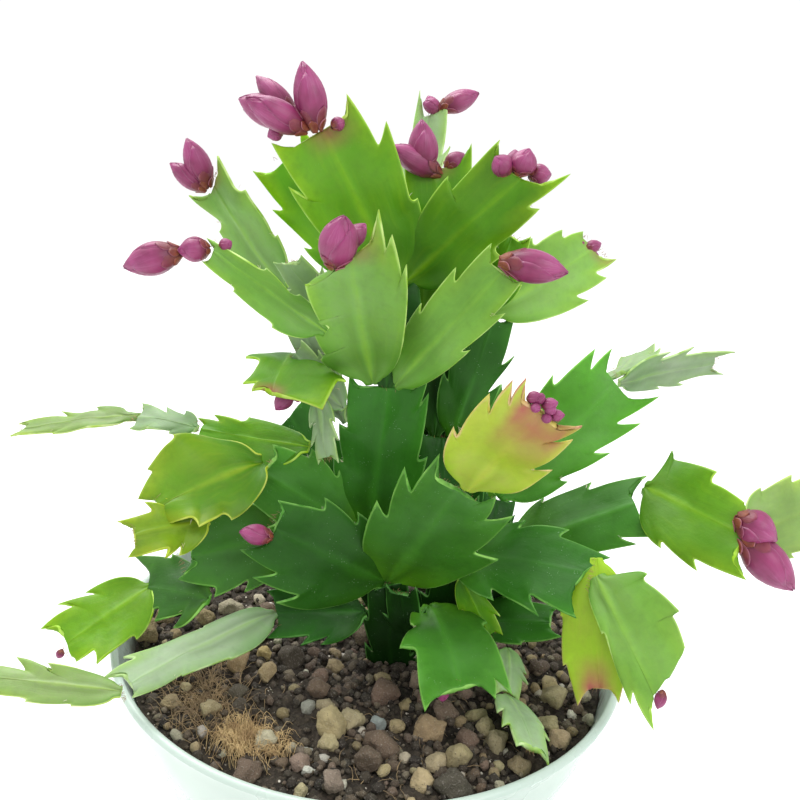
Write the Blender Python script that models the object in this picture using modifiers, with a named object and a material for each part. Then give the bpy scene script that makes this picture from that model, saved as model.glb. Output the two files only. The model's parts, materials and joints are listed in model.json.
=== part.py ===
"""Potted christmas cactus: a round tapered pot, potting soil, jointed flat stem segments and flower buds.

Units are metres, +Z is up and the origin is the middle of the pot's underside. The front is -Y.
The plant grows as a tree: each segment starts at its parent's tip or at a notch in its parent's edge.
"""

import math
import random
from collections import namedtuple

import bmesh
import bpy
from mathutils import Matrix, Vector

MM = 0.001

# Pot: a straight taper from the foot up to the belly, then a curve over the shoulder to the rim.
# BELLY and SHOULDER are (radius, height).
POT_HEIGHT = 85 * MM
RIM_RADIUS = 70 * MM
FOOT_RADIUS = 38 * MM
BELLY = (58.5 * MM, 52 * MM)
SHOULDER = (67.4 * MM, 74.6 * MM)
SHOULDER_STEPS = 5
WALL = 2.3 * MM
FLOOR = 3 * MM
FOOT_BEVEL = 1.2 * MM
POT_SIDES = 48

# Soil, and how deep the stems stand in it
SOIL_BELOW_RIM = 9 * MM
SOIL_MOUND = 1.5 * MM
# Share of the rim radius and share of the mound height halfway down the mound
MOUND_SIDE = (0.5, 0.7)
SOIL_TOP = POT_HEIGHT - SOIL_BELOW_RIM
STEM_DEPTH = 12 * MM

# Fits: the distance from a parent's tip or notch to the neck of a straight child, and the room to turn
GAP = 0.3 * MM
SOCKET_GAP = 0.4 * MM
TIP_SEAT = 0.5 * MM
NOTCH_SEAT = 1.4 * MM
TURN_ROOM = 0.85 * MM

# Stem segments. Widths are shares of the half width and places are shares of the length.
NECK_SHARE = 0.1
TIP_HALF = 0.38
STEM_TIP_HALF = 0.62
ENVELOPE = ((0.0, NECK_SHARE), (0.07, 0.2), (0.3, 0.7), (0.48, 0.93), (0.66, 1.0), (0.84, 0.94), (1.08, 0.6))
NECK_ROWS = (0.0, 0.07, 0.24)
TEETH = (0.5, 0.76, 1.06)
TEETH_SPREAD = 0.035
SLANT_SPREAD = 0.05
SWELL_PLACE = 0.55
SWELL_FULLNESS = 0.52
NOTCH_DEPTH = 0.24
NOTCH_STEP = 0.01
# How far back along the rib each kind of row starts
HORN_RIB = 0.84
VEIN_SWEEP = 0.15
SWELL_SWEEP = 0.09
NOTCH_SWEEP = 0.075
NOTCH_OUT = (0.8, 0.6, 0.0)
# Thickness at the rib, and the share of it at the edge and at both ends of the rib
RIB_THICKNESS = 2.4 * MM
STEM_THICKNESS = 4 * MM
EDGE_SHARE = 0.36
RIB_END_SHARE = 0.55

# Flower buds: radius as a share of the half width, at shares of the length
BUD_PROFILE = ((0.0, 0.1), (0.12, 0.42), (0.3, 0.85), (0.5, 1.0), (0.7, 0.82), (0.88, 0.4), (1.0, 0.0))
BUD_SIDES = 8
BUD_RINGS = 6
BUD_POLE = 0.001
BUD_CORNER = 0.8 * MM

# aim and face are (azimuth, elevation) in degrees: azimuth 0 is +X, 90 is +Y, 270 is the front.
# spot is a distance in mm across the parent's tip edge, or the side and number of an edge notch.
Segment = namedtuple("Segment", "name parent spot aim face length width bend tone")
# One cross line of a segment: where it leaves the rib and where it meets the margin.
Row = namedtuple("Row", "kind rib along half")

# Stems that leave the soil: name, place on the soil (x, y), aim, face, length, width
STEMS = (
    ("stem_front", (7, -9), (227, 82), (270, 10), 28, 15),
    ("stem_right", (18, -2), (306, 82), (280, 10), 33, 16),
    ("stem_back", (8, 3), (186, 74), (265, 0), 37, 16),
)

SEGMENTS = (
    Segment("segment_front", "stem_front", 1.4, (308, 57), (265, -10), 42, 32, 10, "old"),
    Segment("segment_front_yellow", "segment_front", 2, (302, 51), (262, -10), 33, 25, 8, "yellow"),
    Segment("segment_front_left", "stem_front", -1.2, (204, 33), (262, 20), 36, 26, 12, "old"),
    Segment("segment_low_left", "stem_front", "left 2", (197, 5), (265, 45), 23, 18, 15, "old"),
    Segment("segment_over_rim", "segment_low_left", 0, (226, -4), (255, 60), 42, 15, 10, "pale"),
    Segment("segment_far_low_left", "segment_over_rim", 0, (186, 7), (262, 55), 30, 15, 10, "bright"),
    Segment("segment_middle", "stem_back", 1.8, (309, 84), (268, 5), 40, 24, 6, "old"),
    Segment("segment_middle_front", "segment_middle", -4.5, (255, 59), (262, -15), 40, 24, 8, "light"),
    Segment("segment_middle_right", "segment_middle", 2, (333, 52), (250, 0), 43, 18, 10, "light"),
    Segment("segment_middle_upper", "segment_middle", -0.7, (93, 70), (275, 10), 25, 22, 4, "old"),
    Segment("segment_top_left", "segment_middle_upper", 0.5, (200, 60), (272, 5), 39, 26, 8, "bright"),
    Segment("segment_top_left_back", "segment_middle_upper", -4.2, (155, 46), (260, 5), 40, 22, -20, "bright"),
    Segment("segment_top_right", "segment_middle_upper", 4.2, (337, 46), (262, 10), 39, 26, 8, "bright"),
    Segment("segment_back", "stem_right", -2.4, (101, 62), (275, 20), 31, 20, 5, "old"),
    Segment("segment_back_upper", "segment_back", -2.2, (85, 79), (268, 0), 36, 18, 6, "old"),
    Segment("segment_back_right", "segment_back", 2.4, (358, 77), (285, 5), 34, 18, 8, "old"),
    Segment("segment_top_middle", "segment_back_upper", 0, (148, 77), (270, 5), 34, 20, 5, "bright"),
    Segment("segment_top_back", "segment_top_middle", "left 1", (74, 54), (250, 15), 36, 14, -45, "pale"),
    Segment("segment_upper_right_small", "segment_back_right", -3, (319, 73), (265, 0), 20, 14, 6, "bright"),
    Segment("segment_upper_right", "segment_back_right", -0.3, (24, 30), (285, 25), 33, 25, 8, "light"),
    Segment("segment_left_arm", "segment_middle", "left 2", (138, 52), (235, 10), 38, 13, 6, "old"),
    Segment("segment_left_upper", "segment_left_arm", 0, (171, 52), (220, 10), 33, 20, 10, "light"),
    Segment("segment_left_arching", "segment_middle_front", "left 1", (170, 30), (240, 30), 33, 16, 22, "light"),
    Segment("segment_left_small", "segment_left_arm", "left 1", (268, -5), (270, 60), 26, 16, 20, "bright"),
    Segment("segment_right_arm", "stem_right", "right 2", (67, 57), (280, 30), 26, 15, 6, "old"),
    Segment("segment_right_back", "segment_right_arm", 1, (23, 43), (285, 30), 46, 26, 10, "old"),
    Segment("segment_right_far_back", "segment_right_back", -2, (67, -1), (280, -40), 27, 18, 10, "pale"),
    Segment("segment_right_far", "segment_right_back", 0.4, (22, 8), (280, -20), 32, 14, -20, "pale"),
    Segment("segment_right_level", "segment_right_arm", "right 1", (351, 31), (275, 55), 40, 20, 12, "old"),
    Segment("segment_right_outer", "segment_right_level", -2.4, (307, -1), (250, 30), 32, 25, 18, "bright"),
    Segment("segment_right_outermost", "segment_right_outer", -3, (27, 12), (270, 30), 22, 15, 8, "light"),
    Segment("segment_low_right", "stem_right", 0.3, (329, 11), (285, 50), 37, 24, 12, "old"),
    Segment("segment_low_right_hanging", "segment_low_right", 0.9, (300, -38), (250, 30), 29, 24, 22, "bright"),
    Segment("segment_low_right_yellow", "segment_low_right", -4.2, (275, -57), (240, 20), 29, 18, 10, "yellow"),
    Segment("segment_low_right_inner", "stem_right", "right 1", (339, 18), (275, 60), 25, 18, 10, "bright"),
    Segment("segment_front_low", "stem_front", "right 2", (282, 0), (275, 60), 31, 23, 30, "bright"),
    Segment("segment_front_inner", "segment_low_right_inner", "right 1", (268, -25), (300, 50), 12, 11, 15, "pale"),
    Segment("segment_front_hanging", "segment_front_inner", 0, (280, 4), (330, 60), 21, 14, 10, "pale"),
    Segment("segment_left", "stem_back", -2, (206, 37), (262, 30), 34, 24, 12, "old"),
    Segment("segment_left_bright", "segment_left", "right 2", (162, -2), (268, 40), 32, 18, -10, "bright"),
    Segment("segment_left_far", "segment_left_bright", 0, (152, -5), (268, 60), 22, 14, 8, "pale"),
    Segment("segment_left_farthest", "segment_left_far", 0, (171, -15), (268, 70), 36, 14, 6, "pale"),
    Segment("segment_left_yellow", "segment_left", 1, (215, -14), (262, 40), 26, 24, 25, "yellow"),
    Segment("segment_left_lower", "segment_left", "left 1", (196, -10), (262, 30), 28, 23, 12, "old"),
    Segment("segment_low_left_outer", "segment_left_lower", "left 2", (157, -8), (262, 50), 18, 18, 8, "old"),
    Segment("segment_low_left_bright", "segment_low_left_outer", -2, (218, -25), (262, 55), 25, 20, 15, "bright"),
)

# Extra distance in mm between a piece and its parent, where its edge turns past a tooth or a sibling.
EXTRA_ROOM = {
    "segment_left_lower": 0.7,
    "segment_middle_front": 0.4,
    "segment_middle_right": 0.6,
    "segment_right_outer": 0.1,
    "segment_left": 0.9,
    "segment_right_outermost": 0.7,
    "segment_top_back": 0.6,
    "segment_top_left": 0.7,
    "segment_front_left": 0.5,
    "segment_left_arm": -0.2,
    "segment_left_small": 0.3,
    "segment_upper_right": 0.3,
    "segment_low_right": 0.2,
    "segment_low_right_hanging": 0.3,
    "segment_low_left_outer": 0.3,
    "segment_right_far": 0.2,
    "segment_front_hanging": -0.2,
    "segment_front_low": -0.4,
    "segment_left_farthest": -0.2,
    "segment_left_yellow": -0.4,
    "segment_back": -0.3,
    "buds_top_back": 0.3,
    "buds_middle_right": 0.3,
}

# place is the distance across the parent's tip edge in mm. Each bud: aim, length and width in mm.
BudCluster = namedtuple("BudCluster", "name parent place buds")
BUD_CLUSTERS = (
    BudCluster("buds_top_left", "segment_top_left", -1,
               (((190, 74), 14, 7.5), ((182, 18), 16, 6.2), ((172, 45), 15, 6), ((160, 25), 16, 6))),
    BudCluster("buds_left_upper", "segment_left_upper", 0, (((180, 52), 12, 6.2), ((185, 20), 11, 4.8))),
    BudCluster("buds_left_arching", "segment_left_arching", 0, (((180, -16), 20, 7), ((200, 8), 7, 5.5))),
    BudCluster("buds_middle_front", "segment_middle_front", -1, (((262, 45), 13, 9.5),)),
    BudCluster("buds_middle_right", "segment_middle_right", 0, (((350, 0), 16, 8),)),
    BudCluster("buds_top_middle", "segment_top_middle", 0,
               (((250, 80), 11, 7), ((185, 35), 9, 5.5), ((0, 50), 5.5, 3.5))),
    BudCluster("buds_top_right", "segment_top_right", 0,
               (((330, 60), 6.5, 5), ((190, 60), 5, 3.6), ((0, 25), 6, 4))),
    BudCluster("buds_top_back", "segment_top_back", 1, (((25, 45), 10, 5.5), ((195, 60), 5, 3.5))),
    BudCluster("buds_right_outer", "segment_right_outer", 3.5, (((325, -42), 17, 9), ((312, 28), 10, 8))),
)

# Base colour, roughness
TONES = {
    "old": ((0.035, 0.13, 0.03), 0.38),
    "bright": ((0.16, 0.38, 0.03), 0.4),
    "light": ((0.2, 0.42, 0.09), 0.42),
    "pale": ((0.3, 0.48, 0.22), 0.45),
    "yellow": ((0.42, 0.5, 0.06), 0.42),
    "bud": ((0.5, 0.05, 0.22), 0.35),
    "pot": ((0.83, 0.9, 0.87), 0.25),
    "soil": ((0.09, 0.06, 0.04), 0.95),
}


def clear_scene():
    for item in list(bpy.data.objects):
        bpy.data.objects.remove(item)


def new_collection(name):
    group = bpy.data.collections.new(name)
    bpy.context.scene.collection.children.link(group)
    return group


def material(part_name, tone):
    """The part's own Principled material."""
    colour, roughness = TONES[tone]
    made = bpy.data.materials.new(part_name)
    made.use_nodes = True
    shader = made.node_tree.nodes["Principled BSDF"]
    shader.inputs["Base Color"].default_value = (*colour, 1)
    shader.inputs["Roughness"].default_value = roughness
    return made


def direction(angles):
    """Unit vector for (azimuth, elevation) in degrees."""
    azimuth, elevation = (math.radians(angle) for angle in angles)
    level = math.cos(elevation)
    return Vector((level * math.cos(azimuth), level * math.sin(azimuth), math.sin(elevation)))


def axes(aim, face):
    """Rotation whose Y runs along the segment and whose Z leaves its flat face."""
    along = direction(aim)
    normal = direction(face)
    normal = (normal - along * normal.dot(along)).normalized()
    across = along.cross(normal)
    return Matrix((across, along, normal)).transposed()


def interpolate(points, at):
    for (x0, y0), (x1, y1) in zip(points, points[1:]):
        if at <= x1:
            return y0 + (y1 - y0) * (at - x0) / (x1 - x0)
    return points[-1][1]


def side_rows(teeth, slant, tip_half):
    """Rows of one side, from the neck to the tip, as shares of the length and the half width."""
    rows = [Row("neck", at, at, interpolate(ENVELOPE, at)) for at in NECK_ROWS]
    for tip in teeth:
        reach = interpolate(ENVELOPE, tip)
        swell = rows[-1].along + SWELL_PLACE * (tip - rows[-1].along)
        fullness = SWELL_FULLNESS * (rows[-1].half + reach)
        rows.append(Row("swell", swell - SWELL_SWEEP, swell, fullness))
        if tip == teeth[-1]:
            rows.append(Row("horn", HORN_RIB, tip, reach))
        else:
            rows.append(Row("tooth", tip - VEIN_SWEEP, tip, reach))
            rows.append(Row("notch", tip - NOTCH_SWEEP, tip - NOTCH_STEP, reach * (1 - NOTCH_DEPTH)))
    rows.append(Row("corner", 1.0, 1.0 + slant, tip_half))
    return rows


class Shape:
    """The form of one segment in its own frame: X across, Y along its chord, Z out of its face."""

    def __init__(self, length, width, bend, seed, tip_half=TIP_HALF):
        dice = random.Random(seed)
        slant = dice.uniform(-SLANT_SPREAD, SLANT_SPREAD)
        self.length = length * MM
        self.half = 0.5 * width * MM
        self.slope = slant / (tip_half * self.half)
        self.bend = math.radians(bend)
        self.sides = []
        for sign in (-1, 1):
            teeth = [tip + dice.uniform(-TEETH_SPREAD, TEETH_SPREAD) for tip in TEETH]
            self.sides.append(side_rows(teeth, sign * slant, tip_half))

    def turn(self, along):
        """Angle of the rib above the chord at a share of the length."""
        return self.bend * (0.5 - along)

    def lift(self, along, across):
        """The point at a share of the length and a distance across, on the arched middle sheet."""
        if abs(self.bend) < 1e-4:
            return Vector((across, along * self.length, 0))
        radius = self.length / self.bend
        start, here = 0.5 * self.bend, self.turn(along)
        return Vector((across, radius * (math.sin(start) - math.sin(here)),
                       radius * (math.cos(here) - math.cos(start))))

    def tip(self, offset):
        """Point on the slanted tip edge and the way square out of it."""
        along = 1.0 + self.slope * offset
        angle = self.turn(along)
        out = Vector((-self.slope * self.length, math.cos(angle), math.sin(angle)))
        return self.lift(along, offset), out.normalized()

    def notch(self, side, number):
        """Point in an edge notch and the way out of it."""
        sign = -1 if side == "left" else 1
        rows = self.sides[0 if side == "left" else 1]
        notch = [row for row in rows if row.kind == "notch"][number - 1]
        outwards, forwards, up = NOTCH_OUT
        return self.lift(notch.along, sign * notch.half * self.half), Vector((sign * outwards, forwards, up))


def blade_mesh(name, shape):
    """Open sheet of a segment: a grid drawn out to the toothed outline."""
    rows = len(shape.sides[0])
    grid = bmesh.new()
    bmesh.ops.create_grid(grid, x_segments=2, y_segments=rows - 1, size=0.5)
    weights = grid.verts.layers.deform.verify()
    verts = sorted(grid.verts, key=lambda v: (round(v.co.y, 4), v.co.x))
    for index, vert in enumerate(verts):
        row, column = divmod(index, 3)
        left, right = shape.sides[0][row], shape.sides[1][row]
        if column == 0:
            vert.co = shape.lift(left.along, -left.half * shape.half)
        elif column == 2:
            vert.co = shape.lift(right.along, right.half * shape.half)
        else:
            vert.co = shape.lift(0.5 * (left.rib + right.rib), 0)
        if column != 1:
            vert[weights][0] = EDGE_SHARE
        else:
            vert[weights][0] = RIB_END_SHARE if row in (0, rows - 1) else 1.0
    mesh = bpy.data.meshes.new(name)
    grid.to_mesh(mesh)
    grid.free()
    return mesh


def add_object(name, mesh, group, tone):
    item = bpy.data.objects.new(name, mesh)
    group.objects.link(item)
    mesh.materials.append(material(name, tone))
    return item


def place(item, rotation, location):
    item.matrix_world = Matrix.Translation(location) @ rotation.to_4x4()


def add_blade(name, shape, rotation, base, tone, group, thickness=RIB_THICKNESS):
    item = add_object(name, blade_mesh(name, shape), group, tone)
    item.vertex_groups.new(name="thickness")
    skin = item.modifiers.new("thickness", "SOLIDIFY")
    skin.thickness = thickness
    skin.offset = 0
    skin.vertex_group = "thickness"
    place(item, rotation, base)
    return item


def root(shape, rotation, base, spot, aim, corner, room):
    """World point where a child starts, so that its corners clear a spot on its placed parent."""
    if isinstance(spot, str):
        side, number = spot.split()
        point, out = shape.notch(side, int(number))
        seat = NOTCH_SEAT
    else:
        point, out = shape.tip(spot * MM)
        seat = TIP_SEAT
    out = rotation @ out
    turned = min(out.angle(aim), math.pi / 2)
    return base + rotation @ point + out * (seat + room * MM + corner * math.sin(turned))


def bezier(start, control, end, steps):
    """Points of a quadratic curve, without its start."""
    shares = [step / steps for step in range(1, steps + 1)]
    return [tuple((1 - t) ** 2 * a + 2 * t * (1 - t) * b + t * t * c for a, b, c in zip(start, control, end))
            for t in shares]


def wall_line(bottom, inset):
    """(radius, height) down a pot wall, from the rim to a height on the straight taper."""
    upper = bezier(BELLY, SHOULDER, (RIM_RADIUS, POT_HEIGHT), SHOULDER_STEPS)
    taper = (BELLY[0] - FOOT_RADIUS) / BELLY[1]
    line = upper[::-1] + [BELLY, (FOOT_RADIUS + taper * bottom, bottom)]
    return [(radius - inset, height) for radius, height in line]


def add_turned(name, line, group, tone, sides=POT_SIDES):
    """Solid turned about Z from (radius, height) points that run from the axis round to the axis."""
    mesh = bpy.data.meshes.new(name)
    outline = bmesh.new()
    verts = [outline.verts.new((radius, 0, height)) for radius, height in line]
    for a, b in zip(verts, verts[1:]):
        outline.edges.new((a, b))
    outline.to_mesh(mesh)
    outline.free()
    item = add_object(name, mesh, group, tone)
    turn = item.modifiers.new("turn", "SCREW")
    turn.steps = turn.render_steps = sides
    turn.use_merge_vertices = True
    turn.merge_threshold = 0.00001
    return item


def add_pot(group):
    inner = wall_line(FLOOR, WALL)[::-1]
    outer = wall_line(FOOT_BEVEL, 0)
    line = [(0, FLOOR)] + inner + outer + [(FOOT_RADIUS - FOOT_BEVEL, 0), (0, 0)]
    add_turned("pot", line, group, "pot")


def cut(item, tool, operation="DIFFERENCE"):
    change = item.modifiers.new(tool.name, "BOOLEAN")
    change.operation = operation
    change.object = tool
    tool.hide_render = True
    tool.display_type = "WIRE"


def add_soil(placed, group, cutters):
    """Soil inside the pot wall, with a socket for the buried foot of each stem."""
    inset = WALL + GAP
    side = [point for point in wall_line(FLOOR + GAP, inset) if point[1] < SOIL_TOP]
    out, up = MOUND_SIDE
    line = [(0, SOIL_TOP + SOIL_MOUND), (out * RIM_RADIUS, SOIL_TOP + up * SOIL_MOUND),
            (RIM_RADIUS - 2 * inset, SOIL_TOP)] + side + [(0, FLOOR + GAP)]
    soil = add_turned("potting_soil", line, group, "soil")
    for name, *_ in STEMS:
        shape, rotation, base = placed[name]
        cut(soil, add_socket_cutter(name, shape, rotation, base, cutters))


def add_socket_cutter(name, shape, rotation, base, cutters):
    """Box round the part of a stem that is in the soil. It comes out above the mound."""
    depth = STEM_DEPTH + 4 * SOIL_MOUND
    reach = interpolate(ENVELOPE, depth / shape.length) * shape.half + SOCKET_GAP
    size = Vector((2 * reach, depth + SOCKET_GAP, STEM_THICKNESS + 2 * SOCKET_GAP))
    mesh = bpy.data.meshes.new(name + "_socket")
    box = bmesh.new()
    bmesh.ops.create_cube(box, size=1, matrix=Matrix.Diagonal((*size, 1)))
    box.to_mesh(mesh)
    box.free()
    item = bpy.data.objects.new(name + "_socket", mesh)
    cutters.objects.link(item)
    place(item, rotation, base + rotation.col[1] * 0.5 * (depth - SOCKET_GAP))
    return item


def bud_mesh(name, length, width):
    """Pointed closed bud along Y, its base at the origin."""
    bud = bmesh.new()
    bmesh.ops.create_uvsphere(bud, u_segments=BUD_SIDES, v_segments=BUD_RINGS, radius=1)
    for vert in bud.verts:
        x, y, z = vert.co
        along = math.acos(max(-1.0, min(1.0, -z))) / math.pi
        swell = 0.5 * width * interpolate(BUD_PROFILE, along) / max(math.hypot(x, y), BUD_POLE)
        vert.co = Vector((x * swell, along * length, -y * swell)) * MM
    mesh = bpy.data.meshes.new(name)
    bud.to_mesh(mesh)
    bud.free()
    mesh.shade_smooth()
    return mesh


def add_buds(placed, group, cutters):
    """Each cluster is one body: its buds start at one point and are joined there."""
    for name, parent, spot, buds in BUD_CLUSTERS:
        cluster = None
        for number, (aim, length, width) in enumerate(buds):
            rotation = axes(aim, (aim[0], aim[1] + 90))
            if cluster is None:
                start = root(*placed[parent], spot, rotation.col[1], BUD_CORNER, EXTRA_ROOM.get(name, 0))
                cluster = add_object(name, bud_mesh(name, length, width), group, "bud")
                place(cluster, rotation, start)
            else:
                part_name = f"{name}_{number}"
                bud = bpy.data.objects.new(part_name, bud_mesh(part_name, length, width))
                cutters.objects.link(bud)
                place(bud, rotation, start)
                cut(cluster, bud, "UNION")


def neck_corner(width):
    """Half size of a neck, with room to turn."""
    return TURN_ROOM + 0.5 * NECK_SHARE * width * MM


def add_plant(group):
    """All segments, from the stems outwards. Returns name: (shape, rotation, base)."""
    placed = {}
    for number, (name, (x, y), aim, face, length, width) in enumerate(STEMS):
        shape = Shape(length + STEM_DEPTH / MM, width, 0, number, STEM_TIP_HALF)
        rotation = axes(aim, face)
        base = Vector((x * MM, y * MM, SOIL_TOP)) - rotation.col[1] * STEM_DEPTH
        add_blade(name, shape, rotation, base, "old", group, STEM_THICKNESS)
        placed[name] = shape, rotation, base
    for number, row in enumerate(SEGMENTS, len(STEMS)):
        shape = Shape(row.length, row.width, row.bend, number)
        rotation = axes(row.aim, row.face)
        room = EXTRA_ROOM.get(row.name, 0)
        base = root(*placed[row.parent], row.spot, rotation.col[1], neck_corner(row.width), room)
        add_blade(row.name, shape, rotation, base, row.tone, group)
        placed[row.name] = shape, rotation, base
    return placed


def main():
    clear_scene()
    plant = new_collection("potted_christmas_cactus")
    cutters = new_collection("cutters")
    add_pot(plant)
    placed = add_plant(plant)
    add_soil(placed, plant, cutters)
    add_buds(placed, plant, cutters)


main()
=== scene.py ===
"""Potted christmas cactus in bud: pot, gritty soil, jointed toothed stem segments, flower buds."""

import json
import math
import random
from collections import namedtuple

import bmesh
import bpy
from mathutils import Matrix, Vector, noise

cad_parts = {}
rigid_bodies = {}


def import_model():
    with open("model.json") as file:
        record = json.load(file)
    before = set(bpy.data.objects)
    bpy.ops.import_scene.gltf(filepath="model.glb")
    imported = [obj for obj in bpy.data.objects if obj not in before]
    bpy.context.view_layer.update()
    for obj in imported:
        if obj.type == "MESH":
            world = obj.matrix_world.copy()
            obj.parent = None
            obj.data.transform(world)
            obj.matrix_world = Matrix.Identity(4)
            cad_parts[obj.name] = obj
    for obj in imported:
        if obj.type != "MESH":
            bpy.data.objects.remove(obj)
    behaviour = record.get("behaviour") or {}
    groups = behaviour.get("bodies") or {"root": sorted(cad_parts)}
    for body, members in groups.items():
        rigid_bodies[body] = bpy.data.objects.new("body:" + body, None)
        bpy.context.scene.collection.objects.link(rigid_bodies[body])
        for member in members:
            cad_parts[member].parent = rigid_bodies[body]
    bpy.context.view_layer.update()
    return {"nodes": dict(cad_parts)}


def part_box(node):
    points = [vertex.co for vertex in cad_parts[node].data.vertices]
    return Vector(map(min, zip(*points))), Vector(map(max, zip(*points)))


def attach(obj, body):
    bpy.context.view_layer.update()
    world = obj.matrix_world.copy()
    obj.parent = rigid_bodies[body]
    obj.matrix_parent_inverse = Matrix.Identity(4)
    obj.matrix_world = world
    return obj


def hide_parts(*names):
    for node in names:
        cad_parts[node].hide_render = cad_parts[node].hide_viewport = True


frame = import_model()

MM = 0.001

# The growth of the plant. Directions are (azimuth, elevation) in degrees, lengths are in mm.
# Stems that leave the soil: name, place on the soil (x, y), aim, face, length, width
STEMS = (
    ("stem_front", (7, -9), (227, 82), (270, 10), 28, 15),
    ("stem_right", (18, -2), (306, 82), (280, 10), 33, 16),
    ("stem_back", (8, 3), (186, 74), (265, 0), 37, 16),
)

# A spot is a distance across the parent's tip, or the side and number of a notch in its margin. The tone is a
# name in FINISHES.
Segment = namedtuple("Segment", "name parent spot aim face length width bend tone")
SEGMENTS = [Segment(*row) for row in (
    ("front", "stem_front", 1.4, (308, 57), (265, -10), 42, 32, 10, "old_fresh"),
    ("front_yellow", "front", 2, (302, 51), (262, -10), 33, 25, 8, "yellow"),
    ("front_left", "stem_front", -1.2, (204, 33), (262, 20), 36, 26, 12, "old"),
    ("low_left", "stem_front", "left 2", (197, 5), (265, 45), 23, 18, 15, "old_shaded"),
    ("over_rim", "low_left", 0, (226, -4), (255, 60), 42, 15, 10, "pale_shaded"),
    ("far_low_left", "over_rim", 0, (186, 7), (262, 55), 30, 15, 10, "lime_pale"),
    ("middle", "stem_back", 1.8, (309, 84), (268, 5), 40, 24, 6, "old"),
    ("middle_front", "middle", -4.5, (255, 59), (262, -15), 40, 24, 8, "light"),
    ("middle_right", "middle", 2, (333, 52), (250, 0), 43, 18, 10, "light"),
    ("middle_upper", "middle", -0.7, (93, 70), (275, 10), 25, 22, 4, "old_shaded"),
    ("top_left", "middle_upper", 0.5, (200, 60), (272, 5), 39, 26, 8, "bright"),
    ("top_left_back", "middle_upper", -4.2, (155, 46), (260, 5), 40, 22, -20, "bright"),
    ("top_right", "middle_upper", 4.2, (337, 46), (262, 10), 39, 26, 8, "bright"),
    ("back", "stem_right", -2.4, (101, 62), (275, 20), 31, 20, 5, "old_shaded"),
    ("back_upper", "back", -2.2, (85, 79), (268, 0), 36, 18, 6, "old_shaded"),
    ("back_right", "back", 2.4, (358, 77), (285, 5), 34, 18, 8, "old"),
    ("top_middle", "back_upper", 0, (148, 77), (270, 5), 34, 20, 5, "bright"),
    ("top_back", "top_middle", "left 1", (74, 54), (250, 15), 36, 14, -45, "pale"),
    ("upper_right_small", "back_right", -3, (319, 73), (265, 0), 20, 14, 6, "bright"),
    ("upper_right", "back_right", -0.3, (24, 30), (285, 25), 33, 25, 8, "light"),
    ("left_arm", "middle", "left 2", (138, 52), (235, 10), 38, 13, 6, "pale_shaded"),
    ("left_upper", "left_arm", 0, (171, 52), (220, 10), 33, 20, 10, "light"),
    ("left_arching", "middle_front", "left 1", (170, 30), (240, 30), 33, 16, 22, "light"),
    ("left_small", "left_arm", "left 1", (268, -5), (270, 60), 26, 16, 20, "bright"),
    ("right_arm", "stem_right", "right 2", (67, 57), (280, 30), 26, 15, 6, "old_shaded"),
    ("right_back", "right_arm", 1, (23, 43), (285, 30), 46, 26, 10, "old_lit"),
    ("right_far_back", "right_back", -2, (67, -1), (280, -40), 27, 18, 10, "pale_shaded"),
    ("right_far", "right_back", 0.4, (22, 8), (280, -20), 32, 14, -20, "pale_shaded"),
    ("right_level", "right_arm", "right 1", (351, 31), (275, 55), 40, 20, 12, "old_fresh"),
    ("right_outer", "right_level", -2.4, (307, -1), (250, 30), 32, 25, 18, "bright"),
    ("right_outermost", "right_outer", -3, (27, 12), (270, 30), 22, 15, 8, "lime_pale"),
    ("low_right", "stem_right", 0.3, (329, 11), (285, 50), 37, 24, 12, "old"),
    ("low_right_hanging", "low_right", 0.9, (300, -38), (250, 30), 29, 24, 22, "light"),
    ("low_right_yellow", "low_right", -4.2, (275, -57), (240, 20), 29, 18, 10, "yellow"),
    ("low_right_inner", "stem_right", "right 1", (339, 18), (275, 60), 25, 18, 10, "old"),
    ("front_low", "stem_front", "right 2", (282, 0), (275, 60), 31, 23, 30, "old_fresh"),
    ("front_inner", "low_right_inner", "right 1", (268, -25), (300, 50), 12, 11, 15, "pale"),
    ("front_hanging", "front_inner", 0, (280, 4), (330, 60), 21, 14, 10, "pale"),
    ("left", "stem_back", -2, (206, 37), (262, 30), 34, 24, 12, "old_fresh"),
    ("left_bright", "left", "right 2", (162, -2), (268, 40), 32, 18, -10, "bright"),
    ("left_far", "left_bright", 0, (152, -5), (268, 60), 22, 14, 8, "pale_shaded"),
    ("left_farthest", "left_far", 0, (171, -15), (268, 70), 36, 14, 6, "lime_pale"),
    ("left_yellow", "left", 1, (215, -14), (262, 40), 26, 24, 25, "half_yellow"),
    ("left_lower", "left", "left 1", (196, -10), (262, 30), 28, 23, 12, "old_fresh"),
    ("low_left_outer", "left_lower", "left 2", (157, -8), (262, 50), 18, 18, 8, "old_fresh"),
    ("low_left_bright", "low_left_outer", -2, (218, -25), (262, 55), 25, 20, 15, "bright"),
)]

# Extra distance in mm between a piece and its parent, where its edge turns past a tooth or a sibling.
EXTRA_ROOM = {
    "left_lower": 0.7, "middle_front": 0.4, "middle_right": 0.6, "right_outer": 0.1, "left": 0.9,
    "right_outermost": 0.7, "top_back": 0.6, "top_left": 0.7, "front_left": 0.5, "left_arm": -0.2, "left_small": 0.3,
    "upper_right": 0.3, "low_right": 0.2, "low_right_hanging": 0.3, "low_left_outer": 0.3, "right_far": 0.2,
    "front_hanging": -0.2, "front_low": -0.4, "left_farthest": -0.2, "left_yellow": -0.4, "back": -0.3,
}

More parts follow.
